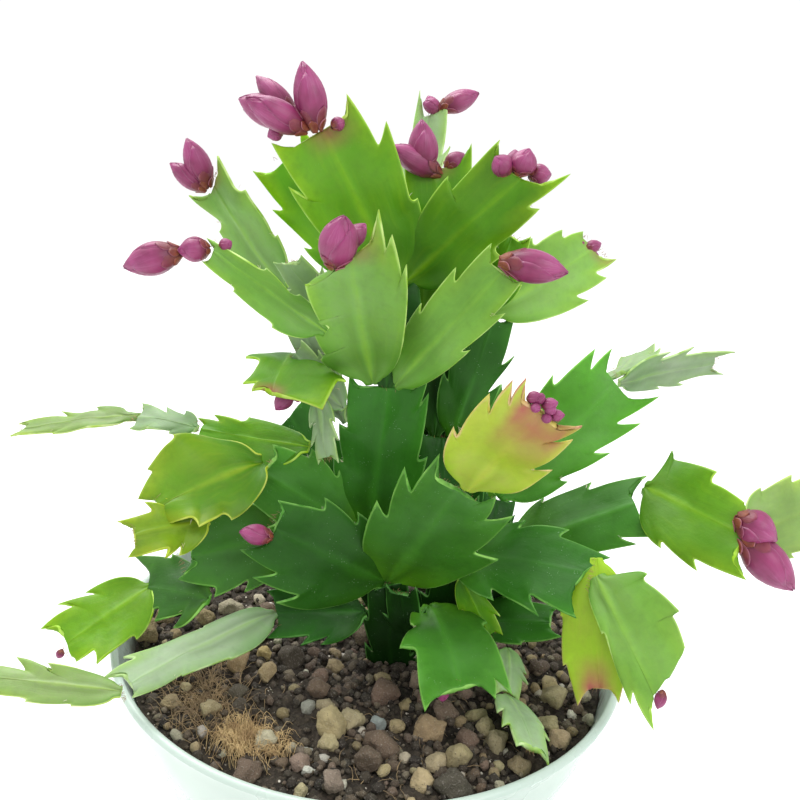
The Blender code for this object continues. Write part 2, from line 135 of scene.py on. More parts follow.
# Buds of each cluster: foot (x, y, z) in mm, aim, length and width in mm
BUDS = {
    "buds_top_left": (((-20, 0, 216), (194, 75), 15.4, 7.2), ((-22.5, 0, 216), (201, 23), 15.6, 6.8),
        ((-26, 2, 217.5), (163, 17), 15, 7), ((-25.5, 3, 218), (158, 40), 14.5, 5.6),
        ((-28.5, 1.5, 215.5), (199, -27), 3.8, 3.4), ((-16.5, -1, 217), (30, 30), 3.6, 3.2)),
    "buds_left_upper": (((-50, 18, 199.5), (192, 66), 13, 6.4), ((-50.5, 18, 198.8), (187, 34), 11, 5.2)),
    "buds_left_arching": (((-51, -6, 186.4), (189, -18), 14, 7.6), ((-44, -6, 187.5), (199, -3), 7.4, 5.8),
        ((-41.5, -6, 188), (350, 30), 3.4, 3)),
    "buds_middle_front": (((-13, -20.5, 188), (292, 62), 13.5, 8.2), ((-10.6, -20, 192.5), (26, 48), 6.8, 4.4)),
    "buds_middle_right": (((24.5, -14, 190.8), (352, -4), 15.5, 7.4),),
    "buds_top_middle": (((6, 19, 206.5), (228, 79), 13.8, 7.4), ((10, 19, 207), (197, 24), 15.4, 6.2),
        ((11.5, 20, 208.5), (31, 36), 6.5, 4.6)),
    "buds_top_right": (((28, -2, 209.3), (316, 71), 6.6, 5.8), ((25.6, -2, 209.6), (206, 40), 5.6, 5),
        ((30.4, -1, 209.5), (5, 5), 5.4, 4.8), ((27, 0, 210), (200, 85), 5, 4.4)),
    "buds_top_back": (((9, 37, 223), (17, 24), 12, 5.6), ((9, 37, 223.2), (209, 10), 5.4, 4),
        ((7.5, 37, 222.5), (200, 60), 4.2, 3.6)),
    "buds_right_outer": (((87, -21, 134.5), (335, -20), 10.5, 8.4), ((88.5, -23, 130.5), (334, -37), 17, 9)),
    "bud_left_small": (((-23.5, -5, 153), (223, -41), 6.4, 4.4), ((-22.6, -4.5, 153.2), (300, -50), 3.4, 2.8)),
    "bud_front_left": (((-24.6, -25, 122.2), (196, 14), 8, 4.8),),
    "bud_upper_right": (((50, 20, 190), (23, 21), 5.4, 3.4), ((50.6, 20, 188.6), (27, -7), 4.6, 3),
        ((49, 20, 190.2), (80, 50), 3, 2.4)),
    "bud_front_yellow": (((29.3, -47.5, 169), (320, 30), 3.4, 2.4), ((31, -47.8, 168.6), (300, 50), 3, 2.2),
        ((32.2, -48, 168), (330, 25), 3.6, 2.5), ((33.2, -48, 167), (300, 30), 2.9, 2.2),
        ((33.9, -48, 166), (340, 15), 3.2, 2.3), ((30.4, -48.4, 167.8), (290, 10), 2.5, 1.9),
        ((32.6, -48.6, 166), (300, 0), 2.5, 1.9)),
    "bud_low_right": (((68, -46, 101.8), (232, -68), 4.4, 2.6),),
    "bud_front_low": (((18.6, -40.5, 95), (275, -50), 3.8, 3.2), ((17.8, -40.5, 95), (230, -30), 2.6, 2)),
    "bud_low_left": (((-76.4, -27.8, 87.8), (200, -68), 2.6, 2),),
}


# Sizes that the plant grows by
POT_HEIGHT = 85 * MM
RIM_RADIUS = 70 * MM
FOOT_RADIUS = 38 * MM
BELLY = (58.5 * MM, 52 * MM)
SHOULDER = (67.4 * MM, 74.6 * MM)
WALL = 2.3 * MM
SOIL_TOP = 76 * MM
SOIL_MOUND = 1.5 * MM
STEM_DEPTH = 12 * MM
TIP_SEAT = 0.5 * MM
NOTCH_SEAT = 1.4 * MM
TURN_ROOM = 0.85 * MM
NECK_SHARE = 0.1
TIP_HALF = 0.38
STEM_TIP_HALF = 0.62
ENVELOPE = ((0.0, NECK_SHARE), (0.07, 0.2), (0.3, 0.7), (0.48, 0.93), (0.66, 1.0), (0.84, 0.94), (1.08, 0.6))
TEETH = (0.5, 0.76, 1.06)
TEETH_SPREAD = 0.035
SLANT_SPREAD = 0.05
CAD_NOTCH_BACK = 0.01
CAD_NOTCH_DEPTH = 0.24
NOTCH_OUT = (0.8, 0.6, 0.0)

# The drawn margin of a segment
HEEL = -0.03
NECK_HALF = 0.2
LOBE_STEPS = {2: (13, 9), 3: (8, 6, 5), 4: (6, 4, 3, 3)}
TOOTH_STEPS = 3
HORN_STEPS = 4
NOTCH_BACK = (0.05, 0.11)
NOTCH_DEPTH = (0.26, 0.36)
HORN_REACH = (0.0, 0.1)
HORN_SPREAD = (-0.08, 0.02)
FOOT_GAP = 0.04

# Drawn margins, (left, right), in hundredths of the length and of the half width. Each tooth is its tip and the notch
# above it, as (along, half) of each. The last one is the horn at the tip corner, with its foot on the tip edge.
MARGINS = {
    "front": (((65, 90, 57, 62), (98, 82, 83, 53), (117, 50, 103, 34)),
        ((68, 112, 61, 77), (100, 90, 88, 60), (106, 54, 97, 42))),
    "front_yellow": (((54, 98, 50, 82), (94, 85, 80, 63), (113, 70, 95, 47), (118, 54, 103, 34)),
        ((64, 80, 53, 56), (94, 70, 79, 44), (110, 62, 97, 36))),
    "top_left": (((46, 100, 43, 86), (83, 103, 71, 80), (110, 95, 102, 60)),
        ((42, 104, 45, 90), (92, 110, 80, 77), (116, 66, 105, 46))),
    "top_left_back": (((46, 100, 42, 82), (79, 110, 75, 87), (106, 90, 97, 60)),
        ((50, 100, 46, 76), (76, 95, 70, 70), (108, 60, 99, 38))),
    "left_upper": (((40, 95, 43, 80), (66, 92, 72, 70), (102, 92, 90, 50)),
        ((35, 92, 38, 80), (76, 98, 82, 74), (110, 66, 99, 40))),
    "middle_front": (((20, 100, 24, 88), (50, 102, 51, 84), (82, 96, 85, 60)),
        ((98, 102, 84, 87), (118, 82, 105, 64), (131, 60, 109, 36))),
    "middle": (((49, 100, 45, 76), (73, 95, 71, 74), (106, 86, 99, 66)),
        ((58, 105, 56, 84), (102, 86, 92, 70), (121, 80, 104, 56))),
    "middle_right": (((50, 100, 46, 82), (79, 97, 73, 70), (102, 72, 94, 42)),
        ((52, 82, 48, 66), (80, 78, 74, 58), (100, 52, 96, 34))),
    "top_right": (((30, 92, 30, 68), (66, 93, 60, 67), (104, 76, 93, 50)),
        ((60, 84, 61, 62), (97, 64, 93, 46), (123, 52, 105, 27))),
    "top_middle": (((50, 100, 46, 76), (76, 95, 70, 72), (106, 72, 98, 50)),
        ((50, 100, 47, 77), (80, 108, 74, 84), (113, 104, 98, 72))),
    "upper_right": (((56, 88, 55, 70), (82, 70, 79, 52), (100, 44, 95, 30)),
        ((70, 86, 63, 62), (93, 66, 88, 42), (110, 44, 99, 24))),
    "right_back": (((40, 100, 38, 84), (73, 112, 69, 92), (105, 86, 91, 60), (113, 60, 99, 37)),
        ((35, 80, 33, 62), (66, 97, 57, 66), (93, 100, 80, 57), (114, 88, 97, 44))),
    "right_level": (((33, 120, 33, 104), (68, 124, 65, 98), (105, 76, 90, 52)),
        ((50, 95, 44, 72), (84, 98, 75, 70), (106, 98, 92, 56))),
    "right_outer": (((3, 96, 8, 80), (52, 88, 52, 64), (80, 58, 80, 32)),
        ((42, 100, 42, 86), (75, 104, 69, 84), (110, 74, 95, 50))),
    "low_right": (((45, 100, 42, 78), (78, 92, 74, 68), (110, 48, 102, 28)),
        ((42, 98, 38, 70), (78, 120, 68, 78), (100, 98, 90, 56))),
    "low_right_hanging": (((13, 92, 17, 80), (50, 114, 50, 98), (76, 92, 80, 70)),
        ((42, 38, 45, 32), (98, 46, 90, 30), (122, 28, 106, 12))),
    "front_low": (((45, 102, 48, 90), (118, 100, 102, 74), (120, 63, 106, 40)),
        ((26, 60, 32, 52), (68, 106, 70, 70), (126, 86, 110, 50))),
    "front_left": (((66, 125, 56, 90), (89, 105, 77, 72), (108, 68, 92, 42)),
        ((50, 100, 47, 77), (78, 95, 74, 72), (106, 50, 100, 34))),
    "left_lower": (((50, 100, 45, 74), (77, 96, 75, 74), (106, 40, 86, 14)),
        ((48, 100, 46, 78), (76, 98, 74, 76), (106, 72, 88, 42))),
    "low_left_outer": (((35, 98, 30, 50), (66, 92, 70, 50), (100, 60, 100, 38)),
        ((45, 100, 47, 90), (85, 108, 88, 96), (160, 90, 112, 50))),
    "low_left_bright": (((40, 100, 42, 86), (82, 100, 77, 60), (97, 50, 98, 30)),
        ((54, 96, 47, 72), (82, 112, 69, 78), (108, 86, 92, 52))),
    "left": (((48, 100, 47, 76), (74, 96, 70, 74), (107, 58, 99, 38)),
        ((48, 94, 47, 74), (77, 98, 76, 76), (106, 60, 98, 40))),
    "over_rim": (((42, 90, 46, 78), (70, 60, 73, 50), (98, 36, 95, 22)),
        ((40, 80, 43, 72), (90, 98, 86, 72), (105, 76, 95, 38))),
    "left_yellow": (((52, 90, 57, 72), (82, 82, 84, 55), (112, 26, 102, 12)),
        ((64, 122, 70, 110), (98, 94, 96, 80), (118, 42, 104, 22))),
    "left_bright": (((36, 92, 44, 88), (72, 85, 76, 70), (104, 42, 98, 22)),
        ((58, 62, 63, 42), (92, 56, 84, 34), (106, 38, 97, 18))),
    "left_small": (((35, 150, 40, 140), (75, 210, 80, 185), (120, 160, 106, 50)),
        ((41, 126, 50, 72), (93, 95, 86, 53), (106, 59, 98, 24))),
    "left_arching": (((30, 82, 35, 70), (68, 62, 72, 50), (98, 44, 95, 30)),
        ((28, 44, 34, 30), (58, 50, 62, 36), (108, 20, 98, 10))),
    "low_right_yellow": (((50, 85, 54, 78), (80, 80, 82, 70), (112, 50, 102, 30)),
        ((45, 100, 50, 94), (85, 94, 86, 84), (116, 60, 102, 30))),
    "far_low_left": (((30, 56, 34, 48), (62, 58, 66, 46), (100, 42, 94, 25)),
        ((54, 58, 50, 36), (78, 70, 68, 28), (104, 44, 93, 22))),
    "low_right_inner": (((45, 95, 47, 80), (76, 90, 76, 70), (106, 60, 100, 40)),
        ((38, 70, 42, 62), (72, 74, 74, 60), (114, 45, 100, 20))),
    "left_far": (((30, 50, 34, 36), (62, 60, 64, 42), (98, 55, 94, 35)),
        ((30, 70, 28, 50), (66, 78, 60, 50), (106, 70, 95, 40))),
    "left_farthest": (((30, 60, 33, 50), (62, 55, 64, 38), (104, 30, 96, 16)),
        ((32, 72, 30, 52), (64, 74, 58, 50), (106, 60, 92, 34))),
    "right_outermost": (((40, 125, 42, 110), (85, 125, 86, 100), (135, 90, 126, 40)),
        ((40, 120, 42, 105), (90, 120, 90, 95), (140, 80, 128, 40))),
}
NOTCH_CURVE = 1.25
TIP_CURVE = 2.4
COLUMNS = (0.06, 0.13, 0.28, 0.46, 0.64, 0.8, 0.92, 1.0)
BODY = (0.80, 0.70, 0.62, 0.57, 0.52, 0.46, 0.38, 0.24)

# One point of a margin: where it lies, where its row leaves the rib, if it is a sharp tip, and how the row curves
Margin = namedtuple("Margin", "along half foot sharp curve")


def direction(angles):
    """Unit vector for (azimuth, elevation) in degrees."""
    azimuth, elevation = (math.radians(angle) for angle in angles)
    level = math.cos(elevation)
    return Vector((level * math.cos(azimuth), level * math.sin(azimuth), math.sin(elevation)))


def axes(aim, face):
    """Rotation whose Y runs along the segment and whose Z leaves its flat face."""
    along = direction(aim)
    normal = direction(face)
    normal = (normal - along * normal.dot(along)).normalized()
    across = along.cross(normal)
    return Matrix((across, along, normal)).transposed()


def interpolate(points, at):
    for (x0, y0), (x1, y1) in zip(points, points[1:]):
        if at <= x1:
            return y0 + (y1 - y0) * (at - x0) / (x1 - x0)
    return points[-1][1]


def cubic(start, lead, follow, end, steps):
    """Points of a cubic curve, without its start."""
    line = []
    for step in range(1, steps + 1):
        t = step / steps
        u = 1 - t
        line.append(start * u ** 3 + lead * (3 * u * u * t) + follow * (3 * u * t * t) + end * t ** 3)
    return line


class Shape:
    """The form of one segment in its own frame: X across, Y along its chord, Z out of its face."""

    def __init__(self, length, width, bend, seed, tip_half=TIP_HALF):
        dice = random.Random(seed)
        slant = dice.uniform(-SLANT_SPREAD, SLANT_SPREAD)
        self.length = length * MM
        self.half = 0.5 * width * MM
        self.slope = slant / (tip_half * self.half)
        self.bend = math.radians(bend)
        self.corners = [Vector((1 + sign * slant, tip_half)) for sign in (-1, 1)]
        self.teeth = [[tip + dice.uniform(-TEETH_SPREAD, TEETH_SPREAD) for tip in TEETH] for _ in range(2)]
        self.kept = set()
        self.notches = {}
        self.dice = dice

    def turn(self, along):
        """Angle of the rib above the chord at a share of the length."""
        return self.bend * (0.5 - along)

    def lift(self, along, across, rise=0.0):
        """The point at a share of the length and a distance across, at a height over the arched middle sheet."""
        here = self.turn(along)
        out = Vector((0, -math.sin(here), math.cos(here))) * rise
        if abs(self.bend) < 1e-4:
            return Vector((across, along * self.length, 0)) + out
        radius = self.length / self.bend
        start = 0.5 * self.bend
        return out + Vector((across, radius * (math.sin(start) - math.sin(here)),
                             radius * (math.cos(here) - math.cos(start))))

    def tip(self, offset):
        """Point on the slanted tip edge and the way square out of it."""
        along = 1.0 + self.slope * offset
        angle = self.turn(along)
        out = Vector((-self.slope * self.length, math.cos(angle), math.sin(angle)))
        return self.lift(along, offset), out.normalized()

    def notch(self, side, number):
        """Point in an edge notch and the way out of it. The margin keeps that notch as it is."""
        sign = -1 if side == "left" else 1
        self.kept.add((side, number))
        tip = self.teeth[0 if side == "left" else 1][number - 1]
        half = interpolate(ENVELOPE, tip) * (1 - CAD_NOTCH_DEPTH)
        outwards, forwards, up = NOTCH_OUT
        return self.lift(tip - CAD_NOTCH_BACK, sign * half * self.half), Vector((sign * outwards, forwards, up))


def grown_teeth(shape, side):
    """(tip, notch) of each tooth of a margin that isn't drawn."""
    dice = shape.dice
    grown = []
    for number, tip_along in enumerate(shape.teeth[side], 1):
        tip = Vector((tip_along, interpolate(ENVELOPE, tip_along)))
        if number == len(TEETH):
            tip += Vector((dice.uniform(*HORN_REACH), dice.uniform(*HORN_SPREAD)))
            notch = shape.corners[side]
        elif (("left", "right")[side], number) in shape.kept:
            notch = Vector((tip.x - CAD_NOTCH_BACK, tip.y * (1 - CAD_NOTCH_DEPTH)))
        else:
            notch = Vector((tip.x - dice.uniform(*NOTCH_BACK), tip.y * (1 - dice.uniform(*NOTCH_DEPTH))))
        grown.append((tip, notch))
    return grown


def trace_side(shape, side, drawn, heel, hook):
    """The margin of one side, from the heel to the tip corner, in shares of the length and half width.

    Each tooth is a lobe out to its tip and a short edge back to its notch."""
    points = [Margin(heel, NECK_HALF * 0.8, heel, False, NOTCH_CURVE)]
    start, foot = Vector((0.02, NECK_HALF)), 0.0
    points.append(Margin(*start, foot, False, NOTCH_CURVE))
    if drawn:
        rows = [[share / 100 for share in row] for row in drawn[side]]
        teeth = [(Vector(row[:2]), Vector(row[2:])) for row in rows]
    else:
        teeth = grown_teeth(shape, side)
    for number, (tip, notch) in enumerate(teeth, 1):
        horn = number == len(teeth)
        if not horn:
            shape.notches[side, number - 1] = notch
        chord = tip - start
        if number == 1:
            lead, follow = Vector((0.03, 0.2 + 0.42 * tip.y)), Vector((0.55 * tip.x, tip.y * 0.97))
        else:
            lead = start + 0.26 * chord + Vector((-0.005, 0.03 + 0.03 * hook))
            follow = start + 0.72 * chord + Vector((0.0, 0.015 + 0.03 * hook))
        tip_foot = max(foot + FOOT_GAP, 0.87 if horn else notch.x - 0.2)
        notch_foot = max(notch.x, tip_foot + FOOT_GAP) if horn else tip_foot + FOOT_GAP
        steps = LOBE_STEPS[len(teeth)][number - 1]
        outer = cubic(start, lead, follow, tip, steps)
        for step, point in enumerate(outer, 1):
            share = step / steps
            curve = NOTCH_CURVE + (TIP_CURVE - NOTCH_CURVE) * share ** 2
            points.append(Margin(*point, foot + (tip_foot - foot) * share, share == 1, curve))
        if horn:
            inner = cubic(tip, tip.lerp(notch, 0.5) + Vector((-0.01 - 0.02 * hook, -0.02 * hook)),
                          notch + Vector((-0.01 * hook, 0.1)), notch, HORN_STEPS)
        else:
            inner = cubic(tip, tip.lerp(notch, 0.3) + Vector((-0.01 - 0.02 * hook, -0.015 - 0.03 * hook)),
                          tip.lerp(notch, 0.75) + Vector((-0.01 - 0.03 * hook, -0.01)), notch, TOOTH_STEPS)
        for step, point in enumerate(inner, 1):
            share = step / len(inner)
            curve = TIP_CURVE + (NOTCH_CURVE - TIP_CURVE) * share
            points.append(Margin(*point, tip_foot + (notch_foot - tip_foot) * share, False, curve))
        start, foot = notch, notch_foot
    return points


RIB_THICKNESS = 2.5 * MM
CURL = 0.6 * MM
RELIEF = 1.3 * MM
RELIEF_SCALE = 110
RIB_SHARE = 0.86
RIM_BULGE = 0.044
MARGIN_WAVES = 1.4
STEM_THICKNESS = 4 * MM
# How one segment differs: fold along the rib, edge waves, pink towards the tip, share of tooth colour (of foot colour
# below 0), start of the heel, shift in mm, the half with painted shade (the left one below 0), the painted light or
# shade that scales its colour, and how hooked its teeth are
Look = namedtuple("Look", "fold wave blush tint heel shift dark gain hook",
                  defaults=(0.06, 0.05, 0.0, 0.0, HEEL, (0, 0, 0), 0.0, 1.0, 0.6))
PLAIN_LOOK = Look()
# Each segment's light level is painted light and shade: below 1 it is painted darker, above 1 lighter.
LOOKS = {
    "stem_front": Look(gain=0.4),
    "stem_right": Look(gain=0.5),
    "stem_back": Look(gain=0.6),
    "low_left": Look(wave=0.09, gain=1.25),
    "low_right_inner": Look(tint=0.15, wave=0.08, gain=1.15),
    "front": Look(fold=0.04, wave=0.06, dark=-0.15, gain=0.8, hook=0.8, shift=(0, -1.2, 0)),
    "front_left": Look(fold=0.05, wave=0.08, gain=0.65, hook=0.8),
    "front_low": Look(fold=0.1, wave=0.09, tint=0.2, dark=-0.2, shift=(-3, 0, 0), gain=1.1),
    "left": Look(fold=0.03, wave=0.09, dark=-0.4, gain=1.2),
    "left_lower": Look(wave=0.07, gain=0.75),
    "low_left_outer": Look(wave=0.07, gain=0.55),
    "middle": Look(fold=0.05, wave=0.06, dark=0.2, gain=1.2),
    "back_right": Look(dark=-0.5, gain=0.9),
    "left_arm": Look(gain=0.9),
    "right_back": Look(fold=0.05, wave=0.07, gain=0.85),
    "right_level": Look(fold=-0.2, wave=0.07, dark=-0.5),
    "low_right": Look(fold=0.08, wave=0.08, gain=0.95),
    "right_outer": Look(fold=0.1, wave=0.08, tint=0.1, dark=0.3, shift=(0, -2.5, 0), gain=0.8),
    "right_outermost": Look(heel=0.0, shift=(-4, -1, -9), gain=0.85),
    "right_far": Look(gain=0.85),
    "right_far_back": Look(tint=0.3, gain=0.85),
    "left_far": Look(wave=0.1, gain=0.9),
    "left_farthest": Look(wave=0.08, gain=0.7, heel=-0.1, shift=(0, 2, 0)),
    "over_rim": Look(fold=-0.05, wave=0.12),
    "far_low_left": Look(wave=0.08, gain=0.75),
    "low_left_bright": Look(fold=0.08, wave=0.11, tint=0.3, gain=0.8, shift=(0, -2.5, 0)),
    "low_right_hanging": Look(fold=0.07, wave=0.07, tint=0.12, gain=0.85),
    "low_right_yellow": Look(fold=0.08, tint=-0.8, blush=0.6, shift=(1.5, 0, 0), gain=1.08),
    "front_yellow": Look(fold=0.1, wave=0.06, tint=-0.35, blush=1.25, hook=1.8),
    "left_yellow": Look(fold=0.1, wave=0.16, gain=0.85),
    "left_bright": Look(wave=0.1, tint=0.05, gain=0.9),
    "left_small": Look(fold=0.08, wave=0.1, tint=-0.2, blush=0.35, gain=0.85),
    "left_arching": Look(fold=0.07, wave=0.06, tint=-0.2, dark=0.3, shift=(-1.5, -1.5, 0), gain=0.9),
    "left_upper": Look(fold=0.08, wave=0.06, blush=0.25, gain=0.9),
    "middle_front": Look(fold=0.08, wave=0.06, dark=0.3, blush=0.15, gain=0.95),
    "middle_right": Look(fold=0.06, wave=0.05),
    "top_left": Look(fold=0.08, wave=0.06, dark=0.25, blush=0.3, gain=0.95),
    "top_left_back": Look(wave=0.06, gain=1.3),
    "top_right": Look(fold=0.08, wave=0.06, dark=-0.35, gain=0.85),
    "top_middle": Look(tint=-0.3, blush=0.3),
    "upper_right": Look(fold=0.08, wave=0.08, tint=0.15, dark=-0.3, blush=0.25),
    "upper_right_small": Look(tint=-0.3),
}

# Segments too small or too hidden to be solids of their own. The foot is (x, y, z) in mm.
Filler = namedtuple("Filler", "name foot aim face length width bend tone look")
FILLERS = [Filler(*row) for row in (
    ("left_pale", (-15, 4, 172), (205, 48), (240, 5), 17, 13, 8, "pale_shaded", Look(tint=0.15)),
    ("folded_pale", (-17, -1, 151), (299, -63), (250, 10), 16, 8, 14, "pale_shaded", Look(wave=0.12)),
    ("left_lobe", (-42, -21, 123), (222, 4), (262, 35), 18, 15, 14, "half_yellow", Look(wave=0.12, tint=0.3, gain=0.9)),
    ("low_neck", (23.5, -11.5, 107.5), (334, -57), (262, 10), 17, 10, 8, "bright", Look()),
    ("behind_yellow", (22, 9, 106), (140, 82), (268, 0), 34, 19, 4, "old_shaded", Look()),
    ("behind_front", (34, 4, 90), (238, 70), (262, 0), 24, 18, 6, "old_shaded", Look(gain=0.6)),
    ("low_stem", (12, -9, 82), (232, 72), (262, 0), 22, 13, 4, "old_shaded", Look(gain=0.45)),
    ("low_middle", (20, -2, 80), (280, 76), (268, 0), 26, 16, 6, "old_shaded", Look(gain=0.5)),
    ("back_low_left", (6, 22, 78), (150, 30), (268, 20), 34, 22, 10, "old_shaded", Look()),
    ("back_low_right", (21, 24, 78), (37, 24), (268, 20), 34, 22, 10, "old_shaded", Look()),
    ("mid_gap", (9, 10, 137), (110, 84), (268, 0), 36, 22, 4, "old_shaded", Look()),
    ("mid_back", (9, 12, 164), (124, 82), (268, 0), 20, 16, 4, "bright", Look(tint=-0.3, gain=0.7)),
    ("left_shoot", (-10.5, -3, 149), (152, 36), (255, 10), 19, 12, 8, "pale_shaded", Look(gain=0.85)),
    ("back_left", (-8, 12, 112), (140, 40), (255, 20), 34, 22, 12, "old", Look()),
    ("back_outer", (26, 26, 112), (60, 40), (285, 20), 36, 22, 12, "old_fresh", Look()),
)]


def select(*items):
    """Makes these the only selected objects, and the first of them the active one."""
    for item in bpy.context.selected_objects:
        item.select_set(False)
    for item in items:
        item.select_set(True)
    if items:
        bpy.context.view_layer.objects.active = items[0]


def add_object(name, data):
    item = bpy.data.objects.new(name, data)
    bpy.context.scene.collection.objects.link(item)
    return item


def primitive(kind, **settings):
    """A new mesh of one of the basic kinds, selected and active."""
    select()
    getattr(bpy.ops.mesh, "primitive_" + kind + "_add")(**settings)
    return bpy.context.object


def edit(item, kind="VERT"):
    """Opens one piece in edit mode with everything selected."""
    select(item)
    bpy.ops.object.mode_set(mode="EDIT")
    bpy.ops.mesh.select_mode(type=kind)
    bpy.ops.mesh.select_all(action="SELECT")


def leave_edit(outwards=True):
    """Closes the piece that is open. Its faces are turned outwards first."""
    if outwards:
        bpy.ops.mesh.select_all(action="SELECT")
        bpy.ops.mesh.normals_make_consistent(inside=False)
    bpy.ops.object.mode_set(mode="OBJECT")


def join(items, name):
    select(*items)
    bpy.ops.object.join()
    items[0].name = name
    return items[0]


def apply_modifiers(item):
    select(item)
    for change in list(item.modifiers):
        bpy.ops.object.modifier_apply(modifier=change.name)


def set_attribute(mesh, name, values):
    layer = mesh.attributes.new(name, "FLOAT", "POINT")
    layer.data.foreach_set("value", values)


def set_map(mesh, spots):
    """Gives every vertex its place in the UV map."""
    layer = mesh.uv_layers[0] if mesh.uv_layers else mesh.uv_layers.new(name="UVMap")
    layer.name = "UVMap"
    for loop in mesh.loops:
        layer.data[loop.index].uv = spots[loop.vertex_index]


def finish_piece(item, name, slot_name, *nodes):
    """Names a piece, fixes it to the pot plant and hides the solids it stands for."""
    item.name = item.data.name = name
    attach(item, "root")
    if nodes and nodes[0] in frame["nodes"]:
        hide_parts(*nodes)
    return item


def model_blade(shape, look, thickness, drawn):
    """One flat toothed segment: a grid drawn out to the margin, thickened and with a rounded rim."""
    sides = [trace_side(shape, side, drawn, look.heel, look.hook) for side in (0, 1)]
    phases = [shape.dice.uniform(0, 2 * math.pi) for _ in range(2)]
    curls = [shape.dice.choice((-1, 1)) * shape.dice.uniform(0.5, 1.2) for _ in range(2)]
    blade = primitive("grid", x_subdivisions=2 * len(COLUMNS), y_subdivisions=len(sides[0]) - 1, size=1)
    mesh = blade.data
    order = sorted(mesh.vertices, key=lambda v: (round(v.co.y, 4), v.co.x))
    shares = [-c for c in reversed(COLUMNS)] + [0.0] + list(COLUMNS)
    body = list(reversed(BODY)) + [RIB_SHARE] + list(BODY)
    spots = {}
    group = blade.vertex_groups.new(name="thickness")
    sharp = [0.0] * len(order)
    for index, vert in enumerate(order):
        row, column = divmod(index, len(shares))
        left, right = sides[0][row], sides[1][row]
        foot = 0.5 * (left.foot + right.foot)
        share = shares[column]
        side = 0 if share < 0 else 1
        margin = (left, right)[side]
        along = foot + (margin.along - foot) * abs(share) ** margin.curve
        across = share * margin.half * shape.half
        wave = look.wave * shape.half * share * share * math.sin(2 * math.pi * MARGIN_WAVES * along + phases[side])
        ripeness = (margin.curve - NOTCH_CURVE) / (TIP_CURVE - NOTCH_CURVE)
        curl = CURL * curls[side] * abs(share) ** 5 * (ripeness - 0.4)
        spot = Vector((across, along * shape.length, phases[0] * shape.half)) * RELIEF_SCALE
        relief = RELIEF * noise.noise(spot) * min(1.0, 0.35 + 2 * abs(share))
        vert.co = shape.lift(along, across, look.fold * abs(across) + wave + curl + relief)
        full = body[column]
        ends = min(1.0, 0.62 + max(0.0, min(along, 1.02 - along)) * 3)
        group.add([vert.index], max(full * ends if abs(share) < 0.2 else full, 0.2), "REPLACE")
        spots[vert.index] = (0.5 + 0.5 * share, along)
        if abs(share) == 1 and margin.sharp:
            sharp[vert.index] = 1.0
    set_map(mesh, spots)
    set_attribute(mesh, "crease_vert", sharp)
    smooth = blade.modifiers.new("smooth", "SUBSURF")
    smooth.levels = smooth.render_levels = 1
    skin = blade.modifiers.new("skin", "SOLIDIFY")
    skin.thickness = thickness
    skin.offset = 0
    skin.vertex_group = "thickness"
    skin.material_offset_rim = 1
    for _ in range(2):
        mesh.materials.append(None)
    apply_modifiers(blade)
    round_rim(blade, RIM_BULGE * thickness)
    blade.vertex_groups.clear()
    blade.data.shade_smooth()
    return blade


def round_rim(blade, bulge):
    """Splits the rim band down its middle and pushes that line out."""
    work = bmesh.new()
    work.from_mesh(blade.data)
    posts = [edge for edge in work.edges if all(face.material_index == 1 for face in edge.link_faces)]
    split = bmesh.ops.subdivide_edges(work, edges=posts, cuts=1)
    middle = [v for v in split["geom_inner"] if isinstance(v, bmesh.types.BMVert)]
    work.normal_update()
    for vert in middle:
        vert.co += vert.normal * bulge
    work.to_mesh(blade.data)
    work.free()


